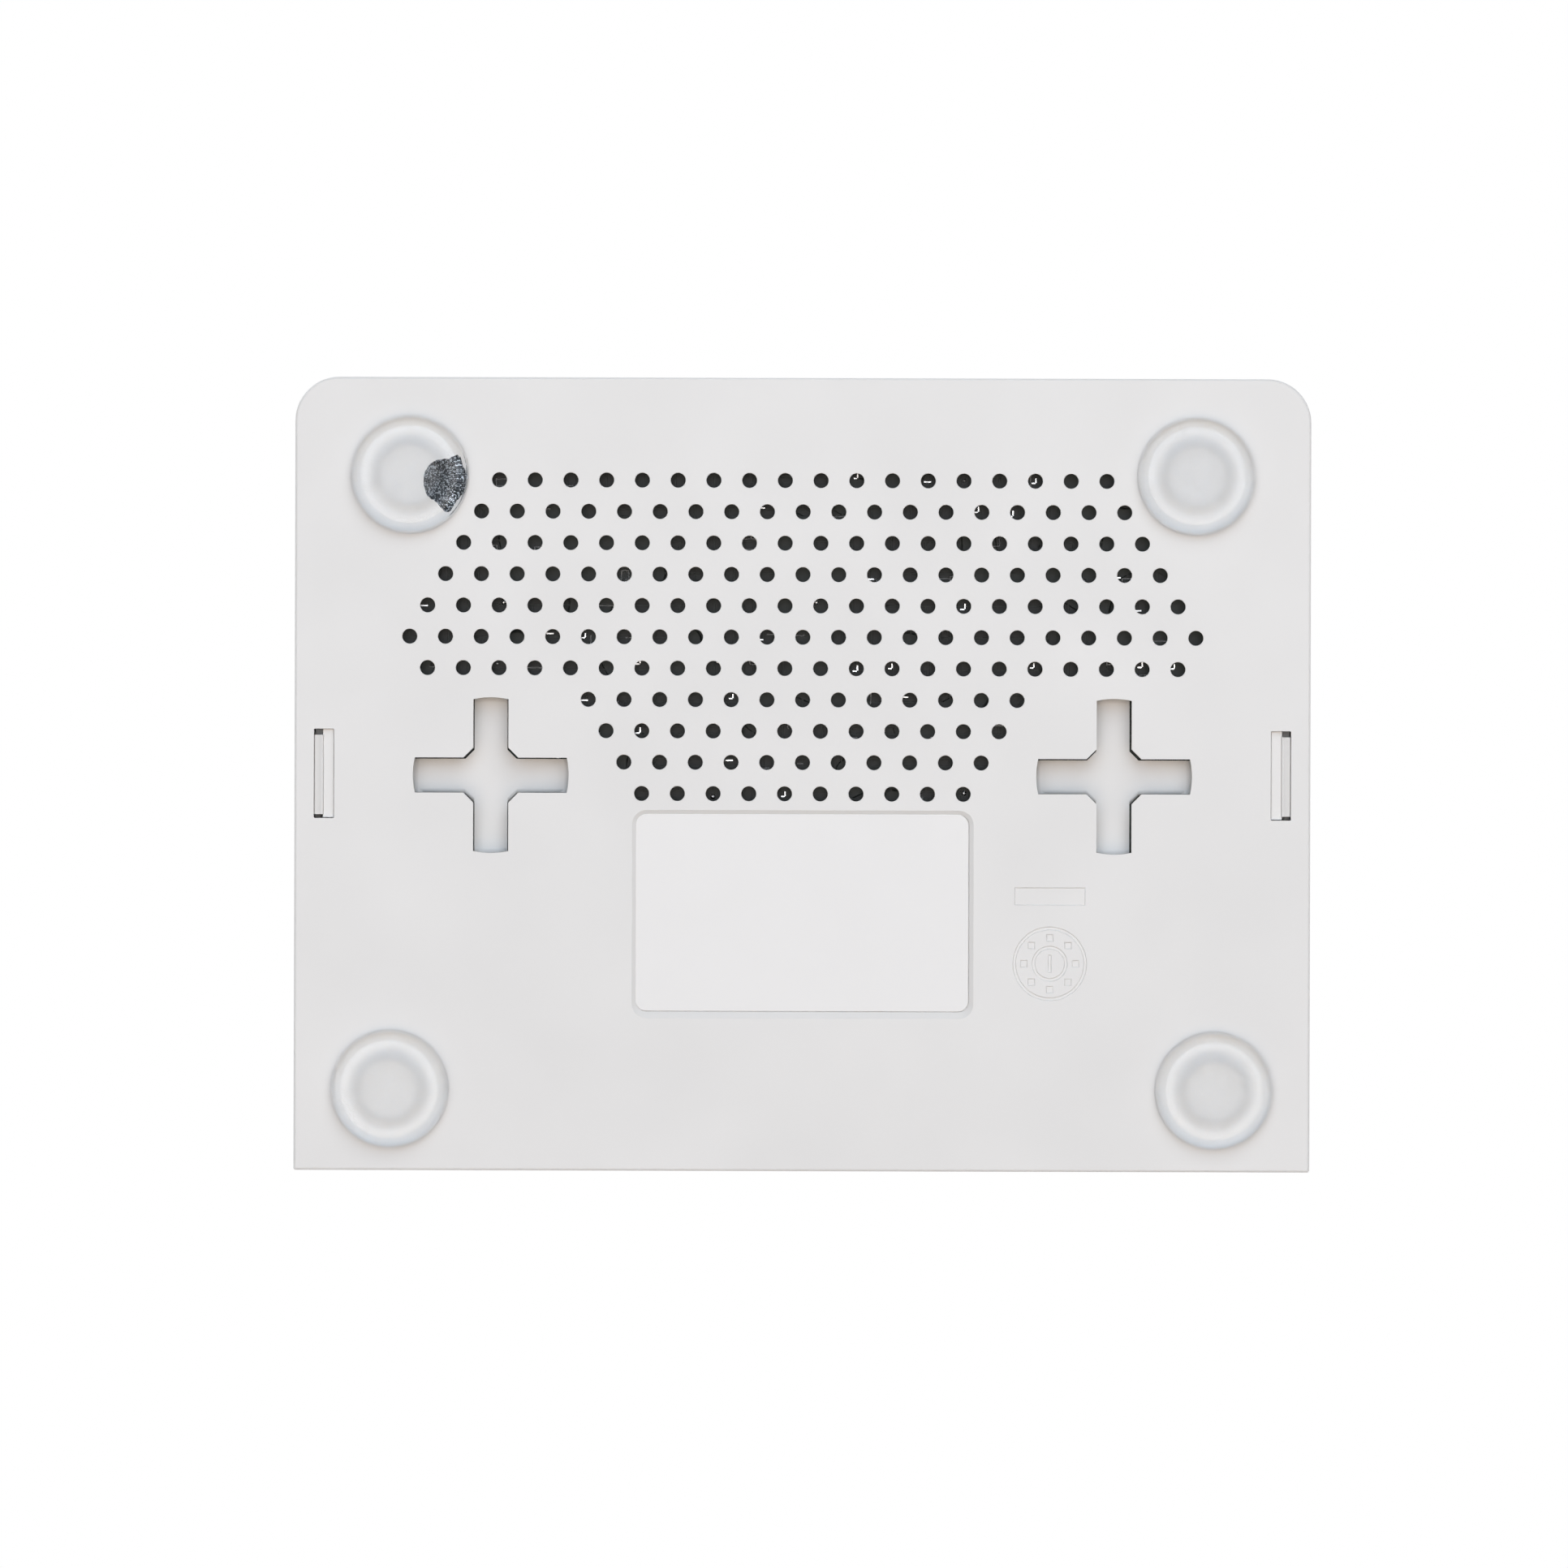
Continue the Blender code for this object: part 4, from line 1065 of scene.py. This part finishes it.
def small_components():
    """Chip resistors and capacitors, scattered in the free spaces: bodies and their soldered ends."""
    random.seed(3)
    spots = free_spots(150, 1.9)
    kinds = [random.choice(("resistor", "resistor", "capacitor")) for _ in spots]
    turned_ones = [random.random() < 0.5 for _ in spots]

    def add_bodies(bm, wanted):
        for (x, y), kind, turned_one in zip(spots, kinds, turned_ones):
            if kind == wanted:
                half = (0.25, 0.42) if turned_one else (0.42, 0.25)
                add_prism(bm, rectangle(*half, centre=(x, y)), BOARD_TOP + 0.05, BOARD_TOP + 0.5)

    def ends(bm):
        for (x, y), _, turned_one in zip(spots, kinds, turned_ones):
            for side in (-1, 1):
                dx, dy = (0, side * 0.62) if turned_one else (side * 0.62, 0)
                half = (0.27, 0.2) if turned_one else (0.2, 0.27)
                add_prism(bm, rectangle(*half, centre=(x + dx, y + dy)), BOARD_TOP + 0.01, BOARD_TOP + 0.48)

    for wanted, paint in (("resistor", EPOXY), ("capacitor", CERAMIC)):
        piece = built(f"chip_{wanted}s", lambda bm: add_bodies(bm, wanted), paint)
        finish_piece(piece, "base", "chip_epoxy")
    finish_piece(built("component_ends", ends, SOLDER), "base", "screw_steel")


# ---------------------------------------------------------------- CAD nodes that stay
KEPT = {
    "circuit_board": (BOARD, 0.12),
    "processor": (EPOXY, 0.12),
    "memory_chip": (EPOXY, 0.12),
    "flash_chip": (EPOXY, 0.15),
    "radio_chip": (EPOXY, 0.1),
    "thermal_pad": (PAD, 0.08),
    "heat_sink": (SINK, 0.1),
    "radio_shield": (TIN, 0.06),
    "antenna_left": (TIN, 0.05),
    "antenna_right": (TIN, 0.05),
    "capacitor_1": (SLEEVE, 0.12),
    "capacitor_2": (SLEEVE, 0.12),
    "inductor": (FERRITE, 0.3),
    "crystal": (TIN, 0.35),
    "wan_transformer": (BLACK, 0.25),
    "lan_transformer_1": (BLACK, 0.25),
    "lan_transformer_2": (BLACK, 0.25),
    "power_jack": (BLACK, 0.2),
    "power_jack_pin": (TIN, 0.06),
    "usb_shell": (TIN, 0.1),
    "usb_insert": (BLACK, 0.1),
    "reset_switch_housing": (BLACK, 0.2),
    "reset_switch_plunger": (BLACK, 0.08),
    "reset_button": (CASE, 0.1),
    "light_guide": (ACRYLIC, 0.1),
    **{name: (BLACK, 0.15) for name in JACKS},
    **{f"ethernet_contacts_{i + 1}": (GOLD, 0.06) for i in range(5)},
    **{name: (STEEL, 0.1) for name in SCREWS},
    **{f"led_{i + 1}": (LED, 0.1) for i in range(7)},
}


def finish_kept_nodes():
    """Gives the CAD nodes that stay their materials and rounded edges."""
    for name, (paint, radius) in KEPT.items():
        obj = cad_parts[name]
        obj.data.materials.clear()
        obj.data.materials.append(paint)
        bevelled(obj, radius)


# ---------------------------------------------------------------- studio
def studio_world():
    """White behind the object. Light from above is even. From below it is strongest straight on, and turns
    from warm in front to cool at the rear."""
    world = bpy.data.worlds.new("studio")
    bpy.context.scene.world = world
    world.use_nodes = True
    world.node_tree.nodes.clear()
    split = node(world, "ShaderNodeSeparateXYZ", {0: node(world, "ShaderNodeTexCoord").outputs["Generated"]})
    turned = {0: split.outputs["Z"], 1: -1.0}
    below = node(world, "ShaderNodeMath", turned, operation="MULTIPLY", use_clamp=True).outputs[0]

    def math_node(operation, *values):
        return node(world, "ShaderNodeMath", dict(enumerate(values)), operation=operation).outputs[0]

    def spread(start, end):
        inputs = {"Value": below, "From Min": start, "From Max": end}
        return node(world, "ShaderNodeMapRange", inputs).outputs["Result"]

    lean = math_node("MULTIPLY", split.outputs["Y"], spread(WORLD_HUE_FROM, WORLD_HUE_FULL))
    stops = [(0.5 + 0.5 * place, colour) for place, colour in WORLD_HUES]
    hue = ramp(world, math_node("MULTIPLY_ADD", lean, 0.5, 0.5), stops)
    facing = math_node("POWER", below, WORLD_FACING_POWER)
    strength = math_node("MULTIPLY_ADD", facing, WORLD_FACING, WORLD_ROUND)

    def background(colour, strength=1.0):
        return node(world, "ShaderNodeBackground", {"Color": colour, "Strength": strength}).outputs[0]

    def mixed(factor, first, second):
        return node(world, "ShaderNodeMixShader", {"Fac": factor, 1: first, 2: second}).outputs[0]

    upper = background((*WORLD_ABOVE_COLOUR, 1), WORLD_ABOVE)
    light = mixed(spread(0.0, WORLD_BLEND), upper, background(hue, strength))
    seen = node(world, "ShaderNodeLightPath").outputs["Is Camera Ray"]
    node(world, "ShaderNodeOutputWorld", {"Surface": mixed(seen, light, background((1, 1, 1, 1)))})


def studio_lights():
    """Round lamps that face the object."""
    for name, (at, size, watts, colour) in LIGHTS.items():
        light = bpy.data.lights.new(name, "AREA")
        light.shape = "DISK"
        light.size = size
        light.energy = watts
        light.color = colour
        lamp = bpy.data.objects.new(name, light)
        lamp.location = at
        lamp.visible_camera = False
        lamp.visible_transmission = False
        lamp.rotation_euler = (-Vector(at)).to_track_quat("-Z", "Y").to_euler()
        bpy.context.scene.collection.objects.link(lamp)


def studio_floor():
    """A pale floor that is seen from above only, so that the underside can be looked at through it."""
    paint = principled("floor", (0.86, 0.86, 0.86), 0.7)
    tint(paint, noise(paint, 0.002, 2.0), grey(0.85), grey(0.87))
    length = node(paint, "ShaderNodeVectorMath", {0: place_of(paint)}, operation="LENGTH").outputs["Value"]
    reach = {"Value": length, "From Min": 0.12, "From Max": 0.55}
    far = node(paint, "ShaderNodeMapRange", reach, interpolation_type="SMOOTHSTEP").outputs["Result"]
    glow = node(paint, "ShaderNodeEmission").outputs[0]
    near = shader_of(paint).outputs[0]
    fade = node(paint, "ShaderNodeMixShader", {"Fac": far, 1: near, 2: glow}).outputs[0]
    clear = node(paint, "ShaderNodeBsdfTransparent").outputs[0]
    behind = node(paint, "ShaderNodeNewGeometry").outputs["Backfacing"]
    sided = node(paint, "ShaderNodeMixShader", {"Fac": behind, 1: fade, 2: clear}).outputs[0]
    paint.node_tree.links.new(sided, paint.node_tree.nodes["Material Output"].inputs["Surface"])
    sheet = rectangle(FLOOR_REACH, FLOOR_REACH)
    floor = built("floor", lambda bm: bm.faces.new([bm.verts.new((x, y, 0)) for x, y in sheet]), paint)
    if floor.data.polygons[0].normal.z < 0:
        floor.data.flip_normals()
    floor.visible_diffuse = False
    floor.visible_glossy = False
    floor.visible_transmission = False
    floor.visible_shadow = False


def studio_camera():
    """Looks straight up at the underside, with the rear of the case at the top."""
    camera = bpy.data.cameras.new("camera")
    camera.sensor_width = 36.0
    camera.lens = camera.sensor_width * CAMERA_DISTANCE / FRAME_WIDTH
    camera.clip_start = 0.01
    eye = bpy.data.objects.new("camera", camera)
    eye.location = (*CAMERA_AT, BASE_Z * MM - CAMERA_DISTANCE)
    facing_up = Matrix.Rotation(math.pi, 4, "Y") @ Matrix.Rotation(math.radians(CAMERA_ROLL), 4, "Z")
    eye.rotation_euler = facing_up.to_euler()
    bpy.context.scene.collection.objects.link(eye)
    bpy.context.scene.camera = eye


base_shell()
cover_shell()
feet()
rating_label()
ink_dab()
board_printing()
solder_joints()
small_components()
finish_kept_nodes()
studio_world()
studio_lights()
studio_floor()
studio_camera()
bpy.context.scene.view_settings.view_transform = "Standard"
